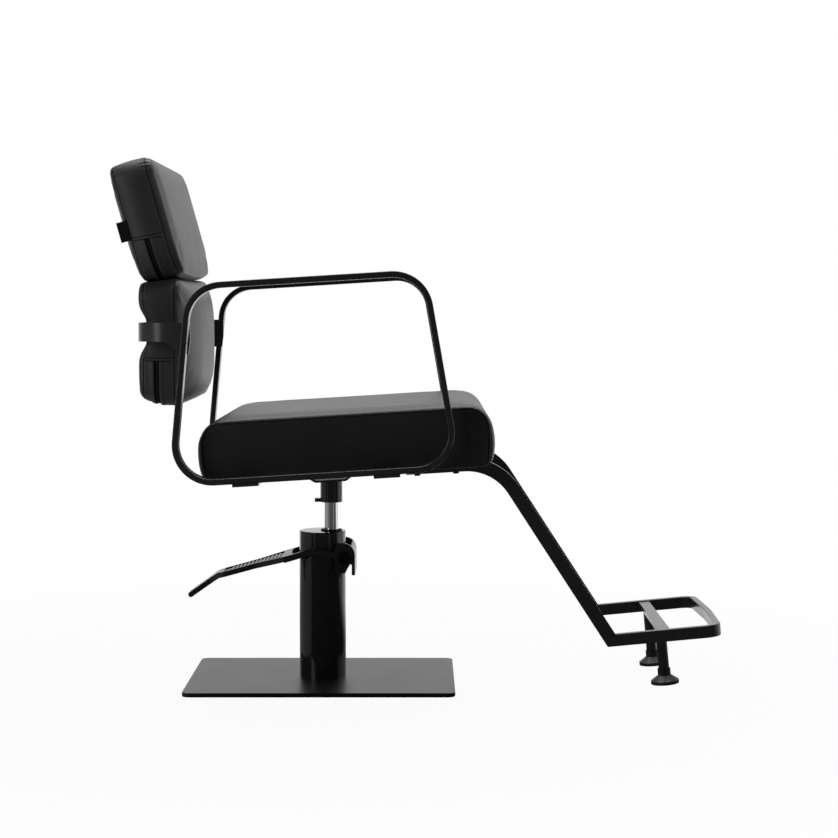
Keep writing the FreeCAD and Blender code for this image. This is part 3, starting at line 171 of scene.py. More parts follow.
class Finish(Tree):
    """A material with one Principled shader."""

    def __init__(self, name, **constants):
        self.material = bpy.data.materials.new(name)
        super().__init__(self.material)
        self.shader = self.nodes["Principled BSDF"]
        for socket, value in constants.items():
            self.shader.inputs[socket.replace("_", " ").title().replace("Ior", "IOR")].default_value = value

    def where(self, stretch=(1, 1, 1), turn=(0, 0, 0)):
        """The piece's own coordinates, turned and then stretched."""
        here = self.node("ShaderNodeTexCoord", output="Object")
        return self.node("ShaderNodeMapping", {}, {"Vector": here, "Rotation": turn, "Scale": stretch})

    def cloud(self, scale, detail=2, stretch=(1, 1, 1), turn=(0, 0, 0)):
        """A soft noise from 0 to 1."""
        inputs = {"Vector": self.where(stretch, turn), "Scale": scale, "Detail": detail}
        return self.node("ShaderNodeTexNoise", {}, inputs)

    def pebbles(self, scale):
        """The distance from the middle of each of many cells."""
        inputs = {"Vector": self.where(), "Scale": scale}
        return self.node("ShaderNodeTexVoronoi", {"feature": "SMOOTH_F1"}, inputs)

    def bands(self, scale, direction, turn=(0, 0, 0)):
        """Straight bands across one axis."""
        inputs = {"Vector": self.where(turn=turn), "Scale": scale}
        return self.node("ShaderNodeTexWave", {"bands_direction": direction}, inputs)

    def grey(self, factor, low, high):
        """Paint the base colour between two greys."""
        self.paint(factor, (low,) * 3, (high,) * 3)

    def paint(self, factor, low, high):
        """Paint the base colour between two colours."""
        inputs = {MIX_FACTOR: factor, MIX_FIRST: (*low, 1), MIX_SECOND: (*high, 1)}
        colour = self.node("ShaderNodeMix", {"data_type": "RGBA"}, inputs, MIX_RESULT)
        self.feed(self.shader.inputs["Base Color"], colour)

    def rough(self, value):
        self.feed(self.shader.inputs["Roughness"], value)

    def bump(self, height, strength, depth):
        """Raise the surface by a pattern, at most by depth."""
        inputs = {"Height": height, "Strength": strength, "Distance": depth}
        self.feed(self.shader.inputs["Normal"], self.node("ShaderNodeBump", {}, inputs))


print("finish helper ready")

# %% [markdown]
# ### Leather
#
# The cover is black grained upholstery. The back pads' cover is painted a paler grey than the seat's, as
# painted light for the brighter light on the back pads. Three sizes of pattern make it: pebbles of a
# millimetre or so, pores finer than that, and long soft pulls where the cover is stretched over the foam.
# The pulls run up the back pads and along the seat, and they show only where the light grazes the surface.

# %% Leather
PEBBLE_SCALE, PORE_SCALE, BLOTCH_SCALE = 720, 2600, 16
LEATHER_ROUGH = 0.36
GRAIN_STRENGTH, GRAIN_DEPTH = 0.35, 0.7 * MM


def leather(name, low, high, shine, pull_stretch):
    """Black grained cover, pulled along one direction."""
    finish = Finish(name, specular_ior_level=shine)
    pebbles = finish.pebbles(PEBBLE_SCALE)
    pores = finish.cloud(PORE_SCALE, 2)
    pulls = finish.cloud(1, 3, pull_stretch)
    blotch = finish.cloud(BLOTCH_SCALE, 3)
    finish.grey(blotch, low, high)
    finish.rough(LEATHER_ROUGH + 0.1 * blotch + 0.08 * pebbles)
    finish.bump(0.5 * pebbles + 0.2 * pores + 1.4 * pulls, GRAIN_STRENGTH, GRAIN_DEPTH)
    return finish.material


# Painted light: the back pads' leather is a paler grey than the seat's, for the brighter light on the back
# pads.
back_leather_painted_light = leather("back_leather_painted_light", 0.034, 0.052, shine=0.31, pull_stretch=(6, 40, 3))
seat_leather = leather("seat_leather", 0.014, 0.024, shine=0.44, pull_stretch=(3, 30, 6))
print(back_leather_painted_light.name, seat_leather.name)

# %% [markdown]
# ### Painted steel
#
# The arms, the legs and the flats under the seat have a powder coat with a fine orange peel. The band
# behind the back has a copy of that coat, painted a little paler as painted light for the brighter light
# on it, and the base plate is darker and duller. The column and the pump are sprayed with a gloss enamel,
# which is smoother and mirrors the studio. The pedal's enamel is rubbed dull.

# %% Painted steel
COAT_SHINE = 0.5
COAT_CLOUD_SCALE = 11
FINE_PEEL, WIDE_PEEL, PEEL_STRENGTH = 350, 200, 0.15


def coat(name, low, high, rough, peel_scale, peel_depth):
    """A black coat on steel with an orange peel."""
    finish = Finish(name, specular_ior_level=COAT_SHINE)
    peel = finish.cloud(peel_scale, 2)
    cloud = finish.cloud(COAT_CLOUD_SCALE, 4)
    finish.grey(cloud, low, high)
    finish.rough(rough + 0.06 * cloud + 0.03 * peel)
    finish.bump(peel, PEEL_STRENGTH, peel_depth)
    return finish.material


powder = coat("powder_coat", 0.017, 0.026, 0.2, FINE_PEEL, 0.02 * MM)
# Painted light: the band's copy of the powder coat is a paler grey, for the brighter light on the band.
lit_band_coat = coat("band_coat_painted_light", 0.030, 0.042, 0.22, FINE_PEEL, 0.03 * MM)
plate_coat = coat("plate_powder_coat", 0.004, 0.008, 0.33, FINE_PEEL, 0.03 * MM)
enamel = coat("gloss_enamel", 0.010, 0.014, 0.03, WIDE_PEEL, 0.01 * MM)
pedal_coat = coat("pedal_enamel", 0.010, 0.016, 0.24, FINE_PEEL, 0.02 * MM)
print(powder.name, lit_band_coat.name, plate_coat.name, enamel.name, pedal_coat.name)

# %% [markdown]
# ### Bare metals
#
# The lifting rod is hard chrome, ground round and round, so its fine lines lie across it. Screws are
# blackened, the tubes inside the pump are bright, and the bushes are bronze.

# %% Bare metals
STAIN_SCALE = 30
LINE_STRENGTH = 0.25


def metal(name, low, high, rough, line_stretch, line_depth):
    """A metal whose tool marks are a cloud stretched along the tool's path."""
    finish = Finish(name, metallic=1)
    lines = finish.cloud(1, 3, line_stretch)
    stain = finish.cloud(STAIN_SCALE, 3)
    finish.paint(stain, low, high)
    finish.rough(rough + 0.12 * lines * stain)
    finish.bump(lines, LINE_STRENGTH, line_depth)
    return finish.material


ACROSS, EVERY_WAY = (60, 60, 3200), (900, 900, 900)
chrome = metal("hard_chrome", (0.62, 0.63, 0.65), (0.72, 0.73, 0.74), 0.05, ACROSS, 0.01 * MM)
blackened = metal("blackened_steel", (0.028,) * 3, (0.05,) * 3, 0.28, EVERY_WAY, 0.03 * MM)
bright = metal("ground_steel", (0.42,) * 3, (0.52,) * 3, 0.24, ACROSS, 0.02 * MM)
bronze = metal("turned_bronze", (0.40, 0.27, 0.11), (0.52, 0.37, 0.17), 0.26, ACROSS, 0.02 * MM)
print(chrome.name, blackened.name, bright.name, bronze.name)

# %% [markdown]
# ### Iron, rubber, plastic, wood and cloth
#
# These are small or hidden, but each is what it is: sand-cast iron under the column, a rubber wiper on
# the rod, moulded feet, boards of plywood inside the cushions, and a woven tag. The thread and the zip
# tape of the covers are made here too, and a near-black finish that paints shade into the seam creases.

# %% Iron, rubber and plastic
MOULDED_SHINE = 0.4
MOULDED_CLOUD_SCALE = 25
MOULDED_STRENGTH = 0.4


def moulded(name, low, high, rough, grain_scale, grain_depth):
    """A dull moulded or cast surface with an even grain."""
    finish = Finish(name, specular_ior_level=MOULDED_SHINE)
    grain = finish.cloud(grain_scale, 3)
    cloud = finish.cloud(MOULDED_CLOUD_SCALE, 3)
    finish.grey(cloud, low, high)
    finish.rough(rough + 0.15 * grain)
    finish.bump(grain, MOULDED_STRENGTH, grain_depth)
    return finish.material


iron = moulded("cast_iron", 0.05, 0.09, 0.6, 500, 0.4 * MM)
rubber = moulded("wiper_rubber", 0.010, 0.018, 0.62, 1500, 0.1 * MM)
plastic = moulded("foot_plastic", 0.010, 0.018, 0.38, 1300, 0.12 * MM)
thread = moulded("sewing_thread", 0.05, 0.09, 0.3, 2500, 0.1 * MM)
# Painted shade: a near-black finish for the faces in a seam's crease.
seam_shade_finish = moulded("painted_seam_shade", 0.002, 0.004, 0.6, 900, 0.1 * MM)
print(iron.name, rubber.name, plastic.name, thread.name, seam_shade_finish.name)

# %% Wood and cloth
PLY_BANDS = 75
FIBRE_STRETCH = (900, 40, 900)
FIBRE_DEPTH, WEAVE_DEPTH = 0.15 * MM, 0.25 * MM


def plywood_finish():
    """Plies seen at the edge and fibres along Y."""
    finish = Finish("plywood", specular_ior_level=0.3)
    plies = finish.bands(PLY_BANDS, "Z")
    fibres = finish.cloud(1, 4, FIBRE_STRETCH)
    finish.paint(0.5 * plies + 0.5 * fibres, (0.22, 0.13, 0.065), (0.46, 0.32, 0.18))
    finish.rough(0.6 + 0.2 * fibres)
    finish.bump(fibres, 0.3, FIBRE_DEPTH)
    return finish.material


def woven(name, threads, low, high):
    """A plain weave: two sets of bands, across and along."""
    finish = Finish(name, specular_ior_level=0.2)
    weave = finish.bands(threads, "X") * finish.bands(threads, "Z")
    finish.grey(weave, low, high)
    finish.rough(0.9 - 0.15 * weave)
    finish.bump(weave, 0.5, WEAVE_DEPTH)
    return finish.material


plywood = plywood_finish()
tag_cloth = woven("tag_cloth", 420, 0.006, 0.02)
zip_tape = woven("zip_tape", 350, 0.004, 0.012)
print(plywood.name, tag_cloth.name, zip_tape.name)

# %% [markdown]
# ## Dress the solids
#
# The record already groups the solids by finish in its material slots, so a table from slot to material
# dresses all of them. The pedal, the base plate and the band share their slots with other parts but have
# coats of their own, so a second table names those pieces.

# %% Dress the solids
SLOT_FINISH = {
    "powder_coat": powder,
    "column_enamel": enamel,
    "cover": back_leather_painted_light,
    "tag_cloth": tag_cloth,
    "chrome": chrome,
    "dark_steel": blackened,
    "bare_steel": bright,
    "cast_iron": iron,
    "bronze": bronze,
    "rubber": rubber,
    "foot_plastic": plastic,
    "plywood": plywood,
}
OWN_FINISH = {
    "right_pedal_arm": pedal_coat,
    "left_pedal_arm": pedal_coat,
    "pedal_hood": pedal_coat,
    "pedal_web": pedal_coat,
    "pedal_tread": pedal_coat,
    "base_plate": plate_coat,
    "back_band": lit_band_coat,
    "right_band_gusset": lit_band_coat,
    "left_band_gusset": lit_band_coat,
}

for solid in frame["record"]["subparts"]:
    name = solid["node"]
    finish = OWN_FINISH.get(name, SLOT_FINISH[solid["material_slot"]])
    nodes[name].data.materials.clear()
    nodes[name].data.materials.append(finish)
print("dressed", sum(len(node.data.materials) for node in nodes.values()), "solids")

# %% [markdown]
# ## Working by hand
#
# The cushions are made as one would at the screen: add a cube, select edges, bevel, remesh, cut. An
# operator works on whatever is selected, so each helper selects first. Masks over the mesh's own arrays
# do the selecting, because a remeshed cover has tens of thousands of faces.

# %% Selecting
def only(obj):
    """Select one object and make it active."""
    bpy.ops.object.select_all(action="DESELECT")
    obj.select_set(True)
    bpy.context.view_layer.objects.active = obj


def read(items, name, width, kind=float):
    """One property of many mesh items, as an array of rows."""
    flat = np.zeros(len(items) * width, kind)
    items.foreach_get(name, flat)
    return flat.reshape(-1, width) if width > 1 else flat


def points_of(obj):
    return read(obj.data.vertices, "co", 3)


def move_points(obj, places):
    obj.data.vertices.foreach_set("co", places.ravel())
    obj.data.update()


def edge_ends(obj):
    """Both ends of each edge, as two arrays of points."""
    return points_of(obj)[read(obj.data.edges, "vertices", 2, int)].transpose(1, 0, 2)


def edit():
    bpy.ops.object.mode_set(mode="EDIT")


def leave():
    bpy.ops.object.mode_set(mode="OBJECT")


def pick(obj, kind, mask):
    """Enter edit mode with just the edges or faces of a mask selected."""
    only(obj)
    edit()
    bpy.ops.mesh.select_mode(type=kind)
    bpy.ops.mesh.select_all(action="DESELECT")
    leave()
    items = obj.data.edges if kind == "EDGE" else obj.data.polygons
    items.foreach_set("select", mask)
    edit()


def applied(obj, kind, **settings):
    """Add a modifier, set it and apply it."""
    only(obj)
    bpy.ops.object.modifier_add(type=kind)
    modifier = obj.modifiers[-1]
    for name, setting in settings.items():
        setattr(modifier, name, setting)
    bpy.ops.object.modifier_apply(modifier=modifier.name)


print("selecting helpers ready")

# %% Blocks
SMOOTH_SHARE = 0.5
EVEN_ROUNDS = 3


def block(name, low, high):
    """A cube between two corners, with its place in its mesh."""
    low, high = Vector(low), Vector(high)
    bpy.ops.object.select_all(action="DESELECT")
    bpy.ops.mesh.primitive_cube_add(size=1, location=(low + high) / 2, scale=high - low)
    made = bpy.context.object
    made.name = name
    bpy.ops.object.transform_apply(location=True, rotation=True, scale=True)
    return made


def roll_edges(obj, mask, radius, segments):
    """Round the edges of a mask."""
    pick(obj, "EDGE", mask)
    bpy.ops.mesh.bevel(offset=radius, segments=segments, affect="EDGES")
    leave()


def even(obj, size):
    """Remesh a shape into small even faces, smooth out the steps and remember the plain block."""
    applied(obj, "REMESH", mode="VOXEL", voxel_size=size)
    applied(obj, "SMOOTH", factor=SMOOTH_SHARE, iterations=EVEN_ROUNDS)
    plain = obj.data.attributes.new("block", "FLOAT_VECTOR", "POINT")
    plain.data.foreach_set("vector", points_of(obj).ravel())


def block_places(obj):
    """Where each point was in the plain block. Later cuts and subdivisions carry this along."""
    return read(obj.data.attributes["block"].data, "vector", 3)


def set_down(obj, place):
    """Move a finished mesh from its own frame to its place on the chair."""
    only(obj)
    obj.matrix_world = place
    bpy.ops.object.transform_apply(location=True, rotation=True, scale=True)


def leaning(x, z, degrees):
    """A frame at a place in the chair's middle plane, with its front raised by an angle."""
    return Matrix.Translation((x, 0, z)) @ Matrix.Rotation(math.radians(-degrees), 4, "Y")


print("block helpers ready")

# %% [markdown]
# ## Blowing up a cover
#
# A sewn cushion is tight because the foam pushes the cover out between its seams. The same happens in a
# cloth simulation with pressure inside: an even mesh of small faces is held along the seams and blown
# up, and no point may go further than a cap. The wide panels are calmed after that, since tight leather
# has no puckers there. One subdivision then takes the steps out of the surface.

# %% Inflate
PRESSURE = 4
LAST_FRAME = 20
CALM_ROUNDS = 14


def group_of(obj, name, mask):
    """A vertex group with the points of a mask."""
    group = obj.vertex_groups.new(name=name)
    group.add([int(index) for index in np.nonzero(mask)[0]], 1.0, "ADD")
    return group


def inflate(obj, held, cap):
    """Blow up a cover that is held at some of its points."""
    rest = points_of(obj)
    sewn = group_of(obj, "sewn", held)
    only(obj)
    bpy.ops.object.modifier_add(type="CLOTH")
    cloth = obj.modifiers[-1]
    cloth.settings.use_pressure = True
    cloth.settings.uniform_pressure_force = PRESSURE
    cloth.settings.vertex_group_mass = sewn.name
    cloth.settings.effector_weights.gravity = 0
    for moment in range(1, LAST_FRAME + 1):
        scene.frame_set(moment)
    bpy.ops.object.modifier_apply(modifier=cloth.name)
    scene.frame_set(1)
    obj.vertex_groups.clear()
    moved = points_of(obj) - rest
    length = np.linalg.norm(moved, axis=1, keepdims=True)
    move_points(obj, rest + moved * np.minimum(1, cap / np.maximum(length, TINY)))
    print(f"{obj.name} blown up by {length.mean() / MM:.1f} mm on average, {length.max() / MM:.1f} at most")


def calm(obj, mask):
    """Smooth away the puckers at the points of a mask."""
    group = group_of(obj, "calm", mask)
    applied(obj, "SMOOTH", factor=SMOOTH_SHARE, iterations=CALM_ROUNDS, vertex_group=group.name)
    obj.vertex_groups.clear()


print("inflate ready")

# %% [markdown]
# ## Seams
#
# A seam follows the cover wherever the foam pushed it, so it is placed by the plain block that each
# point remembers. For a cut, every point's x is swapped for its distance from the seam in the block,
# the mesh is bisected at zero, and all points go back. Three such cuts lie close together, and the
# middle one is pushed in. The faces of the crease are painted near black, as painted shade.

# %% Seams
SEAM_HALF = 0.8 * MM
SEAM_DEPTH = 1.3 * MM
CUT_REACH = 14 * MM
CUT_TOLERANCE = 0.01 * MM
SEAM_SHADE_SLOT, TAPE_SLOT = 1, 2


def face_means(obj, values):
    """Values over the points, averaged over each face."""
    corners = read(obj.data.loops, "vertex_index", 1, int)
    starts = read(obj.data.polygons, "loop_start", 1, int)
    counts = read(obj.data.polygons, "loop_total", 1, int)
    sums = np.add.reduceat(values[corners], starts)
    return (sums.T / counts).T


def slit(obj, field, level, inside):
    """Cut a cover where a field over its block has a level. The new points stay selected."""
    places = points_of(obj)
    stand = obj.data.attributes.new("stand", "FLOAT_VECTOR", "POINT")
    stand.data.foreach_set("vector", places.ravel())
    block_at = block_places(obj)
    from_level = field(block_at) - level
    near = (abs(face_means(obj, from_level)) < CUT_REACH) & inside(face_means(obj, block_at))
    places[:, 0] = from_level
    move_points(obj, places)
    pick(obj, "FACE", near)
    bpy.ops.mesh.select_mode(type="VERT")
    bpy.ops.mesh.bisect(plane_co=(0, 0, 0), plane_no=(1, 0, 0), threshold=CUT_TOLERANCE)
    leave()
    move_points(obj, read(obj.data.attributes["stand"].data, "vector", 3))
    obj.data.attributes.remove(obj.data.attributes["stand"])


def strip(obj, field, level, inside, half):
    """The faces within a distance of a level."""
    block_at = block_places(obj)
    return (abs(face_means(obj, field(block_at) - level)) < half) & inside(face_means(obj, block_at))


def dress(obj, mask, index):
    """Give the faces of a mask another of the object's materials."""
    indices = read(obj.data.polygons, "material_index", 1, int)
    indices[mask] = index
    obj.data.polygons.foreach_set("material_index", indices)


def seam(obj, field, level, inside, depth=SEAM_DEPTH):
    """Press a seam into a cover and paint its crease near black as painted shade."""
    for offset in (-SEAM_HALF, SEAM_HALF, 0):
        slit(obj, field, level + offset, inside)
    only(obj)
    edit()
    bpy.ops.transform.shrink_fatten(value=-depth)
    leave()
    # Painted shade: the faces of the crease get the near-black finish.
    seam_shade_faces = strip(obj, field, level, inside, SEAM_HALF)
    dress(obj, seam_shade_faces, SEAM_SHADE_SLOT)
    print(f"{obj.name} seam of {seam_shade_faces.sum()} faces")


print("seam helpers ready")

# %% [markdown]
# ## Stitches
#
# The line of a seam also leads its stitches. One stitch is modelled and copied along that line at an
# even pitch, and each row of stitches is one mesh.

# %% Lines on a cover
def trace(obj, field, level, inside):
    """Ordered points of the line where a field over the block has a level."""
    places, block_at = points_of(obj), block_places(obj)
    from_level = field(block_at) - level
    first, second = read(obj.data.edges, "vertices", 2, int).T
    crossed = (from_level[first] < 0) != (from_level[second] < 0)
    face_edges = read(obj.data.loops, "edge_index", 1, int)
    counts = read(obj.data.polygons, "loop_total", 1, int)
    face_of = np.repeat(np.arange(len(counts)), counts)
    hits = crossed[face_edges] & inside(face_means(obj, block_at))[face_of]
    links = {}
    for face, edge in zip(face_of[hits], face_edges[hits]):
        links.setdefault(face, []).append(edge)
    beside = {}
    for pair in links.values():
        if len(pair) == 2:
            beside.setdefault(pair[0], []).append(pair[1])
            beside.setdefault(pair[1], []).append(pair[0])
    ends = [edge for edge, others in beside.items() if len(others) == 1]
    order = [ends[0] if ends else next(iter(beside))]
    seen = set(order)
    while ahead := [edge for edge in beside[order[-1]] if edge not in seen]:
        order.append(ahead[0])
        seen.add(ahead[0])
    if not ends:
        order.append(order[0])
    start, stop = first[order], second[order]
    share = (from_level[start] / (from_level[start] - from_level[stop]))[:, None]
    return places[start] + share * (places[stop] - places[start])


def paced(line, pitch):
    """Places and directions at an even pitch along a line."""
    run = np.concatenate([[0], np.cumsum(np.linalg.norm(np.diff(line, axis=0), axis=1))])

    def at(distance):
        return np.stack([np.interp(distance, run, line[:, axis]) for axis in range(3)], axis=1)

    middles = np.arange(pitch / 2, run[-1] - pitch / 2, pitch)
    along = at(middles + pitch / 2) - at(middles - pitch / 2)
    return at(middles), along / np.linalg.norm(along, axis=1, keepdims=True)


print("line helpers ready")

# %% Copies along a line
def row(name, unit, lines, across, pitch, finish):
    """Copies of a small piece along lines, in one mesh. The piece lies along X, its side along Y."""
    shape = points_of(unit)
    corners = [np.array(face.vertices) for face in unit.data.polygons]
    places, faces = [], []
    for line in lines:
        for place, along in zip(*paced(line, pitch)):
            side = across - along * (across @ along)
            side /= np.linalg.norm(side)
            start = len(places) * len(shape)
            places.append(shape @ np.stack([along, side, np.cross(along, side)]) + place)
            faces += [(start + face).tolist() for face in corners]
    mesh = bpy.data.meshes.new(name)
    mesh.from_pydata(np.concatenate(places), [], faces)
    made = bpy.data.objects.new(name, mesh)
    scene.collection.objects.link(made)
    mesh.materials.append(finish)
    only(made)
    bpy.ops.object.shade_smooth()
    print(f"{name}: {len(places)} copies")
    return made


def small_unit(name, size, roundness):
    """A little rounded bar with its middle at the origin."""
    half = Vector(size) / 2
    made = block(name, -half, half)
    roll_edges(made, np.ones(len(made.data.edges), bool), roundness, 1)
    return made


STITCH_SIZE, STITCH_ROUND, STITCH_PITCH = (4.2 * MM, 1.3 * MM, 1.1 * MM), 0.35 * MM, 5.6 * MM
TOOTH_SIZE, TOOTH_ROUND, TOOTH_PITCH = (1.2 * MM, 3.0 * MM, 1.2 * MM), 0.25 * MM, 2.2 * MM
STITCH_INSET = 4 * MM
stitch = small_unit("stitch", STITCH_SIZE, STITCH_ROUND)
tooth = small_unit("zip_tooth", TOOTH_SIZE, TOOTH_ROUND)
print("stitch and tooth of", len(stitch.data.polygons), "faces")

# %% [markdown]
# ## Back pads
#
# Each back pad is a boxed cushion: a front panel that rolls over the edge, a band of cover round the
# sides, and a back panel. A cross seam divides the band on each side. Below it the band is in two
# halves, and a zip joins them and runs on under the pad. The plain block has the corners and rolls of
# the sewn pad. Its sides are then drawn in, its front is crowned, and its lower edge is tucked in.

# %% Back pad sizes
UPPER_FRAME = leaning(-302 * MM, 761 * MM, 15.5)
PADS = {
    "upper_pad": {
        "node": "upper_back_cushion",
        "place": UPPER_FRAME @ Matrix.Translation((-4.5 * MM, 0, 0)),
        "half": 236 * MM,
        "foot": -7 * MM,
        "top": 205 * MM,
        "back": -5.5 * MM,
        "front": 74.5 * MM,
        "crown": 5 * MM,
        "power": 4,
        "top_crown": 3 * MM,
        "side_crown": 8 * MM,
        "foot_corner": 46 * MM,
        "foot_draw": 15 * MM,
        "lobe": 1.5 * MM,
        "bow_foot": 10 * MM,
        "rise": 0,
        "tuck": 2 * MM,
        "seams": (2.5 * MM, 61.3 * MM),
        "cross": 65.2 * MM,
        "cross_slope": 0.107,
        "zip": 30 * MM,
    },
    "lower_pad": {
        "node": "lower_back_cushion",
        "place": Matrix.Translation((-307.7 * MM, 0, 0)),
        "half": 228 * MM,
        "foot": 534.5 * MM,
        "top": 755 * MM,
        "back": -7 * MM,
        "front": 67 * MM,
        "crown": 26 * MM,
        "power": 3,
        "top_crown": 0,
        "side_crown": 3 * MM,
        "foot_corner": 32 * MM,
        "foot_draw": 5 * MM,
        "lobe": 2 * MM,
        "bow_foot": 1 * MM,
        "rise": 7 * MM,
        "tuck": 11 * MM,
        "seams": (2 * MM, 57 * MM),
        "cross": 614.5 * MM,
        "cross_slope": 0,
        "zip": 26 * MM,
    },
}
PAD_CORNER = 30 * MM
PAD_FRONT_ROLL = 7 * MM
PAD_BACK_ROLL = 8 * MM
CORNER_STEPS, FRONT_STEPS, BACK_STEPS = 6, 5, 4
PAD_DRAW = 4 * MM
PAD_VOXEL = 4 * MM
PAD_CAP = 2.2 * MM
TUCK_REACH = 48 * MM
CALM_EDGE = 14 * MM
DRAW_START = 0.4
PANEL_POWER, EDGE_POWER, SIDE_POWER = 4, 3, 6
TUCK_MOST = 1.2
print("pads", list(PADS))

# %% Back pad blocks
def pad_block(name, pad):
    """A block with the pad's corners and rolls."""
    low, high = (pad["back"], -pad["half"], pad["foot"]), (pad["front"], pad["half"], pad["top"])
    made = block(name, low, high)
    for z, radius in ((pad["foot"], pad["foot_corner"]), (pad["top"], PAD_CORNER)):
        first, second = edge_ends(made)
        runs_along = abs(first[:, 0] - second[:, 0]) > pad["front"] / 2
        roll_edges(made, runs_along & (abs(first[:, 2] - z) < MM), radius, CORNER_STEPS)
    first, second = edge_ends(made)
    at_front = np.minimum(first[:, 0], second[:, 0]) > pad["front"] - MM
    roll_edges(made, at_front, PAD_FRONT_ROLL, FRONT_STEPS)
    first, second = edge_ends(made)
    at_back = np.maximum(first[:, 0], second[:, 0]) < pad["back"] + MM
    roll_edges(made, at_back, PAD_BACK_ROLL, BACK_STEPS)
    even(made, PAD_VOXEL)
    return made


def pad_form(obj, pad):
    """Draw in the sides, crown the front and back, and shape the lower and upper edges."""
    places = points_of(obj)
    x, y, z = places.T.copy()
    middle, tall = (pad["foot"] + pad["top"]) / 2, (pad["top"] - pad["foot"]) / 2
    across, up = y / pad["half"], (z - middle) / tall
    panel = np.clip(1 - up**PANEL_POWER, 0, 1)
    bulge = np.clip(1 - abs(across) ** pad["power"], 0, 1) * panel
    rear_seam, front_seam = pad["seams"]
    round_band = np.clip(1 - (2 * (x - rear_seam) / (front_seam - rear_seam) - 1) ** 2, 0, 1)
    front = np.clip((x - front_seam) / (pad["front"] - front_seam), 0, 1)
    back = np.clip((rear_seam - x) / (rear_seam - pad["back"]), 0, 1)
    depth = np.clip(x / pad["front"], 0, 1)
    upper, lower = np.clip(up, 0, 1) ** EDGE_POWER, np.clip(-up, 0, 1) ** EDGE_POWER
    places[:, 0] += front * pad["crown"] * bulge - back * pad["lobe"] * bulge
    swell = pad["side_crown"] * round_band * panel - PAD_DRAW * np.clip(1 - up**2, 0, 1)
    swell -= pad["foot_draw"] * np.clip((-up - DRAW_START) / (1 - DRAW_START), 0, 1) ** 2
    places[:, 1] += np.sign(across) * abs(across) ** SIDE_POWER * swell
    places[:, 2] += upper * (depth * pad["rise"] + 4 * depth * (1 - depth) * pad["top_crown"])
    places[:, 2] -= lower * depth * pad["bow_foot"] * np.clip(1 - across**2, 0, 1)
    places[:, 2] += lower * pad["tuck"] * np.clip(1 - x / TUCK_REACH, 0, TUCK_MOST) ** 2
    move_points(obj, places)


pads = {}
for name, pad in PADS.items():
    pads[name] = pad_block(name, pad)
    pad_form(pads[name], pad)
    print(name, len(pads[name].data.vertices), "points")

# %% [markdown]
# The steel band runs behind the lower pad and pinches it, so the cover swells above and below the band
# and the rear seam bends forward there. The pinched strip is held together with the seams.

# %% Pinch and inflate
BAND_LOW, BAND_HIGH = 650 * MM, 683 * MM
PINCH_SPREAD = 20 * MM
PINCH_DEPTH = 14 * MM
PINCH_REACH = 40 * MM
PINCH_POWER = 1.3
PINCH_HELD_DEPTH, PINCH_HELD_PRESS = 15 * MM, 0.7
SEAM_HOLD = 3.2 * MM


def band_press(z):
    """How strongly the band presses at a height, from 0 to 1."""
    beyond = np.maximum(np.maximum(BAND_LOW - z, z - BAND_HIGH), 0)
    return np.exp(-((beyond / PINCH_SPREAD) ** 2))


def pinch(obj):
    """Press the back of the lower pad in where the band crosses it."""
    places, plain = points_of(obj), block_places(obj)
    fade = np.clip((PINCH_REACH - plain[:, 0]) / (PINCH_REACH - PADS["lower_pad"]["back"]), 0, 1)
    places[:, 0] += PINCH_DEPTH * band_press(plain[:, 2]) * fade**PINCH_POWER
    move_points(obj, places)


pinch(pads["lower_pad"])
for name, made in pads.items():
    pad, plain = PADS[name], block_places(made)
    held = np.zeros(len(plain), bool)
    for level in pad["seams"]:
        held |= abs(plain[:, 0] - level) < SEAM_HOLD
    if name == "lower_pad":
        held |= (plain[:, 0] < PINCH_HELD_DEPTH) & (band_press(plain[:, 2]) > PINCH_HELD_PRESS)
    inflate(made, held, PAD_CAP)
    on_face = plain[:, 0] > pad["front"] - MM
    calm(made, on_face & (abs(plain[:, 1]) < pad["half"] - CALM_EDGE))
    applied(made, "SUBSURF", levels=1, render_levels=1)
    for finish in (back_leather_painted_light, seam_shade_finish, zip_tape):
        made.data.materials.append(finish)

# %% [markdown]
# The zip is a narrow slot between two raised lips. Its floor is tape and carries the teeth. It starts at
# the cross seam on one side, passes under the pad and ends at the cross seam on the other.

# %% Zip channel
ZIP_LIP = 10 * MM
ZIP_SLOT = 4.6 * MM
ZIP_FLOOR = 4 * MM
ZIP_DEPTH = 2.8 * MM
ZIP_RISE = 1.1 * MM


def along_x(plain):
    return plain[:, 0]


def zip_channel(obj, level, inside):
    """Raise two lips and sink the slot between them."""
    for distance in (ZIP_LIP, ZIP_SLOT, ZIP_FLOOR):
        slit(obj, along_x, level - distance, inside)
        slit(obj, along_x, level + distance, inside)
    lips = strip(obj, along_x, level, inside, ZIP_LIP)
    pick(obj, "FACE", lips)
    bpy.ops.transform.shrink_fatten(value=ZIP_RISE)
    leave()
    floor_faces = strip(obj, along_x, level, inside, ZIP_FLOOR)
    pick(obj, "FACE", floor_faces)
    bpy.ops.transform.shrink_fatten(value=-ZIP_DEPTH)
    leave()
    dress(obj, strip(obj, along_x, level, inside, ZIP_SLOT), TAPE_SLOT)
    print(f"{obj.name} zip floor of {floor_faces.sum()} faces")


print("zip helper ready")

# %% [markdown]
# A seam or a row of stitches is told where it runs by tests over the plain block: everywhere, on the band
# only, below the cross seam, or on one side of the chair. The cross seam is a pair of seams with stitches
# between them, and it may slope. The other rows lie on the band, just inside its two seams.

# %% Places on a pad
CROSS_GAP = 5.5 * MM
CROSS_DEPTH = 1.2 * MM
CROSS_MIDDLE = 30 * MM


def everywhere(plain):
    return np.ones(len(plain), bool)


def one_side(inside, side):
    """A test that is kept to one side of the chair."""
    return lambda plain: inside(plain) & (plain[:, 1] * side > 0)


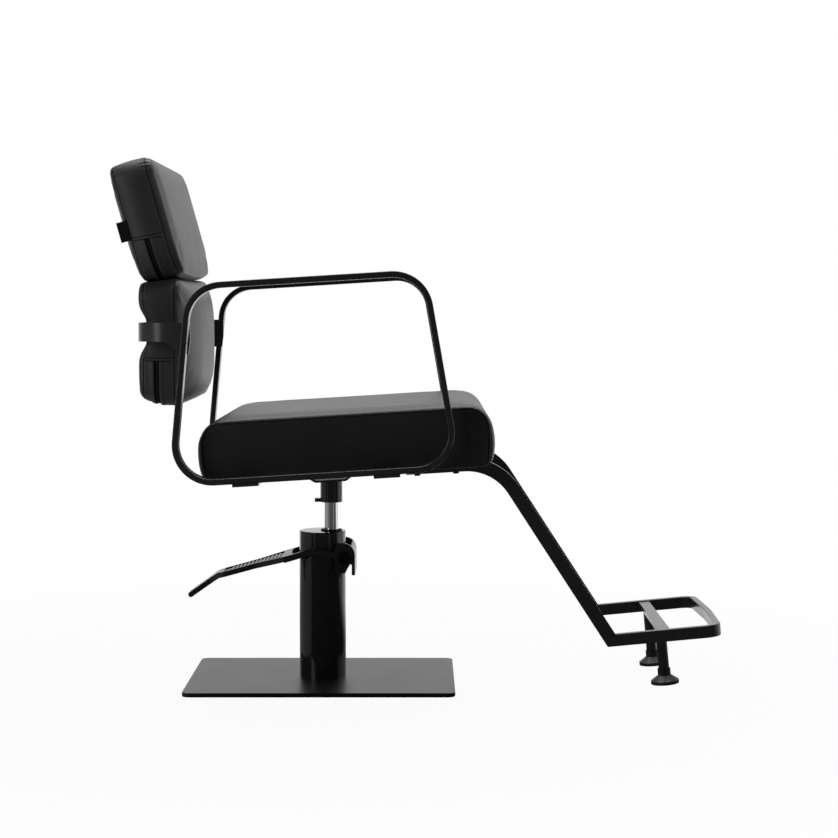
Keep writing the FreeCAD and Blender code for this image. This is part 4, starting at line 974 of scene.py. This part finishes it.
def band_places(pad):
    """The field of the cross seam, a test for the band, and one for what lies below the cross seam."""
    rear, front = pad["seams"]

    def cross(plain):
        return plain[:, 2] + pad["cross_slope"] * (plain[:, 0] - CROSS_MIDDLE)

    def on_band(plain):
        return (plain[:, 0] > rear) & (plain[:, 0] < front)

    def below(plain):
        return cross(plain) < pad["cross"] - SEAM_HALF

    return cross, on_band, below


print("places on a pad ready")

# %% Sew the pads
STITCH_SIDE, TOOTH_SIDE = np.array([1.0, 0.1, 0.1]), np.array([1.0, 0, 0])


def sew(obj, pad):
    """Press the seams and the zip into a pad."""
    cross, on_band, below = band_places(pad)
    for level in pad["seams"]:
        seam(obj, along_x, level, everywhere)
    seam(obj, cross, pad["cross"], on_band)
    seam(obj, cross, pad["cross"] + CROSS_GAP, on_band, CROSS_DEPTH)
    zip_channel(obj, pad["zip"], below)


def trim(name, obj, pad):
    """The stitches and the zip teeth of a sewn pad."""
    cross, on_band, below = band_places(pad)
    rear, front = pad["seams"]
    rows = [trace(obj, along_x, level, everywhere) for level in (rear + STITCH_INSET, front - STITCH_INSET)]
    for side in (-1, 1):
        rows.append(trace(obj, cross, pad["cross"] + CROSS_GAP / 2, one_side(on_band, side)))
    stitches = row(f"{name}_stitches", stitch, rows, STITCH_SIDE, STITCH_PITCH, thread)
    zip_line = trace(obj, along_x, pad["zip"], below)
    teeth = row(f"{name}_zip_teeth", tooth, [zip_line], TOOTH_SIDE, TOOTH_PITCH, plastic)
    return [stitches, teeth]


trims = {}
for name, made in pads.items():
    sew(made, PADS[name])
    trims[name] = trim(name, made, PADS[name])

# %% [markdown]
# At the upper corners the band is eased round a tight bend, which gathers the cover into small pleats
# on both sides of each seam.

# %% Corner pleats
PLEATS = 6
PLEAT_HEIGHT = 0.5 * MM
PLEAT_REACH = 9 * MM


def corner_polar(plain, pad):
    """The angle of each place round its upper corner, and whether it lies in that corner."""
    side = abs(plain[:, 1]) - (pad["half"] - PAD_CORNER)
    rise = plain[:, 2] - (pad["top"] - PAD_CORNER)
    return np.arctan2(rise, side), (side > 0) & (rise > 0)


def pleat(obj, pad):
    """Gather the cover round both upper corners."""
    plain = face_means(obj, block_places(obj))
    inside = corner_polar(plain, pad)[1]
    near = np.min([abs(plain[:, 0] - level) for level in pad["seams"]], axis=0) < 2 * PLEAT_REACH
    pick(obj, "FACE", inside & near)
    bpy.ops.mesh.subdivide(number_cuts=1)
    leave()
    places, plain = points_of(obj), block_places(obj)
    angle, inside = corner_polar(plain, pad)
    near = sum(np.exp(-(((plain[:, 0] - level) / PLEAT_REACH) ** 2)) for level in pad["seams"])
    wave = np.cos(4 * PLEATS * angle) * np.clip(np.sin(2 * angle), 0, 1) * inside
    out = PLEAT_HEIGHT * near * wave
    places[:, 1] += np.sign(plain[:, 1]) * np.cos(angle) * out
    places[:, 2] += np.sin(angle) * out
    move_points(obj, places)


pleat(pads["upper_pad"], PADS["upper_pad"])
print("upper pad has", len(pads["upper_pad"].data.polygons), "faces with its pleats")

# %% [markdown]
# The finished pads and their trims go from their own frames to their places on the chair. They ride on the
# part of it that turns and lifts, and each pad stands for one cushion of the frame.

# %% Set the pads down
for name, made in pads.items():
    only(made)
    bpy.ops.object.shade_smooth()
    for piece in [made, *trims[name]]:
        set_down(piece, PADS[name]["place"])
        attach(piece, "upper")
    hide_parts(PADS[name]["node"])
    print(name, "is down")

# %% [markdown]
# The upper pad's foot presses on the lower pad. Whatever would lie inside the lower pad is lifted onto
# its top.

# %% Rest the upper pad on the lower
REST_RAY = 0.03


def rest_on(obj, support):
    """Lift the points that lie inside a support onto its top."""
    places = points_of(obj)
    top = points_of(support)[:, 2].max()
    shape = BVHTree.FromObject(support, bpy.context.evaluated_depsgraph_get())
    lifted = 0
    for index in np.nonzero(places[:, 2] < top)[0]:
        above = Vector((places[index, 0], places[index, 1], top + REST_RAY))
        hit = shape.ray_cast(above, Vector((0, 0, -1)))[0]
        if hit is not None and hit.z > places[index, 2]:
            places[index, 2] = hit.z
            lifted += 1
    move_points(obj, places)
    print(f"{obj.name}: {lifted} points lifted")


for piece in [pads["upper_pad"], *trims["upper_pad"]]:
    rest_on(piece, pads["lower_pad"])

# %% [markdown]
# ## Tag
#
# A plain woven tag is folded over and caught in the rear seam of the upper pad.

# %% Tag
TAG_REACH, TAG_TALL, TAG_FOLD, TAG_THICK = 18 * MM, 36 * MM, 0.5 * MM, 0.35 * MM
TAG_RUN_STEPS, TAG_TALL_STEPS = 40, 12
TAG_SHARP = math.radians(40)
TAG_PLACE = UPPER_FRAME @ Matrix.Translation((-2 * MM, -233.9 * MM, 70 * MM))

bpy.ops.object.select_all(action="DESELECT")
bpy.ops.mesh.primitive_grid_add(x_subdivisions=TAG_RUN_STEPS, y_subdivisions=TAG_TALL_STEPS, size=1)
tag = bpy.context.object
tag.name = "side_tag_cloth"
run, height, _ = points_of(tag).T
run = (run + 0.5) * (2 * TAG_REACH + math.pi * TAG_FOLD)
turn = np.clip((run - TAG_REACH) / TAG_FOLD, 0, math.pi)
back_run = np.clip(run - TAG_REACH - math.pi * TAG_FOLD, 0, None)
reach = np.minimum(run, TAG_REACH) + TAG_FOLD * np.sin(turn) - back_run
gap = -TAG_FOLD * np.cos(turn)
move_points(tag, np.stack([-reach, gap, (height + 0.5) * TAG_TALL], axis=1))
applied(tag, "SOLIDIFY", thickness=TAG_THICK, offset=0)
tag.data.materials.append(tag_cloth)
only(tag)
bpy.ops.object.shade_smooth_by_angle(angle=TAG_SHARP)
set_down(tag, TAG_PLACE)
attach(tag, "upper")
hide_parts("side_tag")
print("tag of", len(tag.data.polygons), "faces")

# %% [markdown]
# ## Seat
#
# The seat is a long block whose top panel rolls over the front and the back. A flat panel closes each
# side, and the seam that joins it lies a little inside the edge. The seat rests on the deck, so its
# underside stays flat, and a recess there takes the boards.

# %% Seat block
SEAT_PLACE = leaning(17 * MM, 412.9 * MM, 3.5)
SEAT_BACK, SEAT_FRONT = -221 * MM, 303.5 * MM
SEAT_HALF, SEAT_SIDE, SEAT_CROWN = 266 * MM, 113.5 * MM, 0.5 * MM
SEAT_FRONT_ROLL, SEAT_BACK_ROLL, SEAT_FOOT_ROLL = 50 * MM, 52 * MM, 12 * MM
SEAT_END_ROLL = 9 * MM
SEAT_STEPS, SEAT_END_STEPS = 8, 4
SEAT_TAPER, TAPER_TALL = 8 * MM, 46 * MM
SEAT_VOXEL = 6 * MM
SEAT_CAP = 1.6 * MM
SEAT_SEAM = 11 * MM
SEAM_CORNER = 46 * MM

seat = block("seat_pad", (SEAT_BACK, -SEAT_HALF, 0), (SEAT_FRONT, SEAT_HALF, SEAT_SIDE))
for x, z, radius in (
    (SEAT_FRONT, SEAT_SIDE, SEAT_FRONT_ROLL),
    (SEAT_BACK, SEAT_SIDE, SEAT_BACK_ROLL),
    (SEAT_FRONT, 0, SEAT_FOOT_ROLL),
    (SEAT_BACK, 0, SEAT_FOOT_ROLL),
):
    first, second = edge_ends(seat)
    at_edge = np.hypot(first[:, 0] - x, first[:, 2] - z) + np.hypot(second[:, 0] - x, second[:, 2] - z)
    roll_edges(seat, at_edge < MM, radius, SEAT_STEPS)
first, second = edge_ends(seat)
at_end = first[:, 1] * second[:, 1] > (SEAT_HALF - MM) ** 2
on_deck = first[:, 2] + second[:, 2] < MM
roll_edges(seat, at_end & ~on_deck, SEAT_END_ROLL, SEAT_END_STEPS)
even(seat, SEAT_VOXEL)
print("seat block of", len(seat.data.vertices), "points")

# %% [markdown]
# The seam on each side panel follows the outline of the panel at an even distance. `seat_depth` gives that
# distance. The cover is held along the seam and at the deck, and the ends taper in towards the deck.

# %% Seat crown and inflate
CROWN_POWER, CROWN_ENDS = 0.7, 0.65
SEAT_HOLD, DECK_HOLD = 5 * MM, 6 * MM


def seat_depth(plain):
    """How far each place lies inside the seat's top, front and back."""
    past_u = abs(plain[:, 0] - (SEAT_BACK + SEAT_FRONT) / 2) - (SEAT_FRONT - SEAT_BACK) / 2 + SEAM_CORNER
    past_w = plain[:, 2] - SEAT_SIDE + SEAM_CORNER
    outside = np.hypot(np.maximum(past_u, 0), np.maximum(past_w, 0))
    return SEAM_CORNER - outside - np.minimum(np.maximum(past_u, past_w), 0)


def at_side(plain):
    """Whether a place is on one of the two side panels or their rolls."""
    return abs(plain[:, 1]) > SEAT_HALF - 2 * SEAT_END_ROLL


places, plain = points_of(seat), block_places(seat)
across = np.clip(1 - (plain[:, 1] / SEAT_HALF) ** 2, 0, 1)
length = (plain[:, 0] - SEAT_BACK) / (SEAT_FRONT - SEAT_BACK)
along = np.clip(1 - (2 * length - 1) ** 4, 0, 1)
height = np.clip(plain[:, 2] / SEAT_SIDE, 0, 1)
places[:, 2] += SEAT_CROWN * height**2 * across**CROWN_POWER * (CROWN_ENDS + (1 - CROWN_ENDS) * along)
low = np.clip(1 - plain[:, 2] / TAPER_TALL, 0, 1) ** 2
places[:, 0] -= SEAT_TAPER * low * (2 * length - 1) ** 3
move_points(seat, places)
on_seam = at_side(plain) & (abs(seat_depth(plain) - SEAT_SEAM) < SEAT_HOLD)
inflate(seat, on_seam | (plain[:, 2] < DECK_HOLD), SEAT_CAP)
calm(seat, (plain[:, 2] > SEAT_SIDE / 2) & (abs(plain[:, 1]) < SEAT_HALF - 2 * SEAT_END_ROLL))
applied(seat, "SUBSURF", levels=1, render_levels=1)
seat.data.materials.append(seat_leather)
seat.data.materials.append(seam_shade_finish)

# %% [markdown]
# One seam runs up, along and down each side panel, with a row of stitches between it and the edge.

# %% Sew the seat
SEAT_STITCH_SIDE = np.array([0, 1.0, 0])

seam(seat, seat_depth, SEAT_SEAM, at_side)
rows = [trace(seat, seat_depth, SEAT_SEAM - STITCH_INSET, one_side(at_side, side)) for side in (-1, 1)]
seat_stitches = row("seat_pad_stitches", stitch, rows, SEAT_STITCH_SIDE, STITCH_PITCH, thread)

# %% [markdown]
# The boards and the tops of the legs press up into the foam, so the underside is raised over them.

# %% Seat recess
UNDERSIDE = 3 * MM
RECESS_BACK, RECESS_FRONT = -199.5 * MM, 283.5 * MM
RECESS_HALF, RECESS_TALL = 253.5 * MM, 22.5 * MM
LEG_IN, LEG_OUT, LEG_TALL = 158 * MM, 178 * MM, 11.5 * MM
LEG_BELOW, LEG_OVERLAP = 20 * MM, 4 * MM

places, plain = points_of(seat), block_places(seat)
u, y, w = plain.T
under = w < UNDERSIDE
boards = under & (u > RECESS_BACK) & (u < RECESS_FRONT) & (abs(y) < RECESS_HALF)
places[boards, 2] = RECESS_TALL
in_front = (w < LEG_BELOW) & (u >= RECESS_FRONT - LEG_OVERLAP)
over_legs = in_front & (abs(y) > LEG_IN) & (abs(y) < LEG_OUT)
places[over_legs, 2] = np.maximum(places[over_legs, 2], LEG_TALL)
move_points(seat, places)
print("recess over", boards.sum(), "points, legs under", over_legs.sum())

# %% [markdown]
# The seat goes to its place like the pads. The single stitch and tooth have been copied and are deleted.

# %% Set the seat down
only(seat)
bpy.ops.object.shade_smooth()
for piece in (seat, seat_stitches):
    set_down(piece, SEAT_PLACE)
    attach(piece, "upper")
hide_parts("seat_cushion")
for unit in (stitch, tooth):
    bpy.data.objects.remove(unit)
print("seat is down,", len(seat.data.polygons), "faces")

# %% [markdown]
# ## Studio
#
# Black things are seen by what they mirror. Behind the chair everything is white, and faces that the
# camera sees at a shallow angle mirror it and turn grey. The room behind the camera is almost dark, so
# the faces towards it stay black, and a pale wall on the left puts a band on round things. The sky does
# all of this for reflections, and to the camera it is plain white.

# %% Sky
DARK = 0.02
LEFT_WALL = 0.1
RIGHT_WRAP = 0.55
BEHIND_SPAN = (0.5, 0.9)
WALL_X_SPAN, WALL_Y_SPAN = (-0.5, -0.2), (-0.65, -0.5)


def ease(tree, value, span, low, high):
    """A smooth step between two values, over a span of the input."""
    start, stop = span
    inputs = {"Value": value, "From Min": start, "From Max": stop, "To Min": low, "To Max": high}
    return tree.node("ShaderNodeMapRange", {"interpolation_type": "SMOOTHSTEP"}, inputs)


world = bpy.data.worlds.new("studio")
scene.world = world
sky = Tree(world)
seen = sky.node("ShaderNodeLightPath", output="Is Camera Ray")
aim = sky.node("ShaderNodeTexCoord", output="Generated")
aim_x = sky.node("ShaderNodeSeparateXYZ", {}, {"Vector": aim}, "X")
aim_y = sky.node("ShaderNodeSeparateXYZ", {}, {"Vector": aim}, "Y")
behind = ease(sky, aim_y + RIGHT_WRAP * aim_x.at_least(0), BEHIND_SPAN, DARK, 1.0)
wall = ease(sky, aim_x, WALL_X_SPAN, LEFT_WALL, 0.0) * ease(sky, aim_y, WALL_Y_SPAN, 0.0, 1.0)
sky.feed(sky.nodes["Background"].inputs["Color"], seen + (1 - seen) * (behind + wall))
print("sky from", DARK, "to white")

# %% [markdown]
# The floor is white too. Near the chair a part of what the camera sees is lit paint, which keeps a soft
# shadow, and further out the floor is all white and joins the sky. Reflections see another floor: white
# behind the chair, pale on the left, dark towards the camera, and with two pale lanes far out that show
# as streaks on the column.

# %% Floor
FLOOR_RADIUS, FLOOR_SIDES, FLOOR_DROP = 14, 96, 0.5 * MM
FLOOR_SHADE, FLOOR_ROUGH = (0.5, 0.5, 0.5, 1), 0.9
SHADOW_SHARE, SHADOW_SPAN = 0.05, (0.7, 1.7)
PAPER_TURN, PAPER_SPAN = math.radians(36), (-0.04, 0.04)
LANE_SLOPE, LANE_SPAN = 0.75, (0.05, 0.3)
FAR_SPAN = (1.7, 2.6)
MIRROR_SLANT, MIRROR_SPAN = 0.5, (0.45, 1.1)
FLOOR_LEFT, FLOOR_FAR, FLOOR_LANE = 0.25, 0.07, 0.4

bpy.ops.object.select_all(action="DESELECT")
under_chair = (0, 0, -FLOOR_DROP)
bpy.ops.mesh.primitive_circle_add(
    vertices=FLOOR_SIDES, radius=FLOOR_RADIUS, fill_type="NGON", location=under_chair
)
floor = bpy.context.object
floor.name = "floor"
bpy.ops.object.transform_apply(location=True, rotation=True, scale=True)
print("floor", FLOOR_RADIUS, "m")

# %% Floor paper
paper = bpy.data.materials.new("white_floor")
tree = Tree(paper)
paint = tree.nodes["Principled BSDF"]
tree.feed(paint.inputs["Base Color"], FLOOR_SHADE)
tree.feed(paint.inputs["Roughness"], FLOOR_ROUGH)
here = tree.node("ShaderNodeTexCoord", output="Object")
away = tree.node("ShaderNodeVectorMath", {"operation": "LENGTH"}, {0: here}, "Value")
here_x = tree.node("ShaderNodeSeparateXYZ", {}, {"Vector": here}, "X")
here_y = tree.node("ShaderNodeSeparateXYZ", {}, {"Vector": here}, "Y")
seen = tree.node("ShaderNodeLightPath", output="Is Camera Ray")
mirrored = tree.node("ShaderNodeLightPath", output="Is Glossy Ray")
left_of = math.cos(PAPER_TURN) * here_y - math.sin(PAPER_TURN) * here_x
paper_left = ease(tree, left_of, PAPER_SPAN, 0.0, FLOOR_LEFT)
lanes = ease(tree, abs(abs(here_x) + LANE_SLOPE * here_y), LANE_SPAN, FLOOR_LANE, 0.0)
far_floor = ease(tree, away, FAR_SPAN, 0.0, 1.0) * (lanes + FLOOR_FAR)
white = ease(tree, here_y + MIRROR_SLANT * here_x, MIRROR_SPAN, DARK, 1.0)
shade = seen + (1 - seen) * (white + paper_left + far_floor)
glow = tree.node("ShaderNodeEmission", {}, {"Color": shade, "Strength": 1})
lit = Value(tree, paint.outputs[0])
share = seen * ease(tree, away, SHADOW_SPAN, 1 - SHADOW_SHARE, 1.0) + mirrored
mixed = tree.node("ShaderNodeMixShader", {}, {0: share, 1: lit, 2: glow})
tree.feed(tree.nodes["Material Output"].inputs["Surface"], mixed)
floor.data.materials.append(paper)
floor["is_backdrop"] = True
print("paper of", len(tree.nodes), "nodes")

# %% [markdown]
# Four soft boxes light the chair: a wide one overhead, a weak one ahead of the sitter, a strip behind the
# sitter's right that draws a pale line on round things, and a fill beside it that nothing mirrors.

# %% Lamps
def soft_box(name, place, target, width, height, power, mirrored=True):
    """A rectangular lamp that faces a point and may be kept out of reflections."""
    turn = (Vector(target) - Vector(place)).to_track_quat("-Z", "Y").to_euler()
    bpy.ops.object.light_add(type="AREA", location=place, rotation=turn)
    lamp = bpy.context.object
    lamp.name = name
    lamp.data.shape = "RECTANGLE"
    lamp.data.size = width
    lamp.data.size_y = height
    lamp.data.energy = power
    lamp.visible_camera = False
    lamp.visible_glossy = mirrored


soft_box("overhead_box", (0.1, 0.6, 3.2), (0.1, 0, 0.4), 2.6, 2.2, 90)
soft_box("front_box", (3.2, 0.4, 1.7), (0.1, 0, 0.6), 1.4, 1.8, 11)
soft_box("left_strip", (-2.49, -2.32, 1.35), (-0.3, -0.25, 0.7), 1.0, 1.6, 17)
soft_box("fill_box", (-2.2, -3.2, 2.0), (0.1, 0, 0.5), 1.6, 1.6, 14, mirrored=False)

# %% [markdown]
# ## Sizes
#
# The box round the dressed chair, without the floor, is found.

# %% Sizes
low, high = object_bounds()
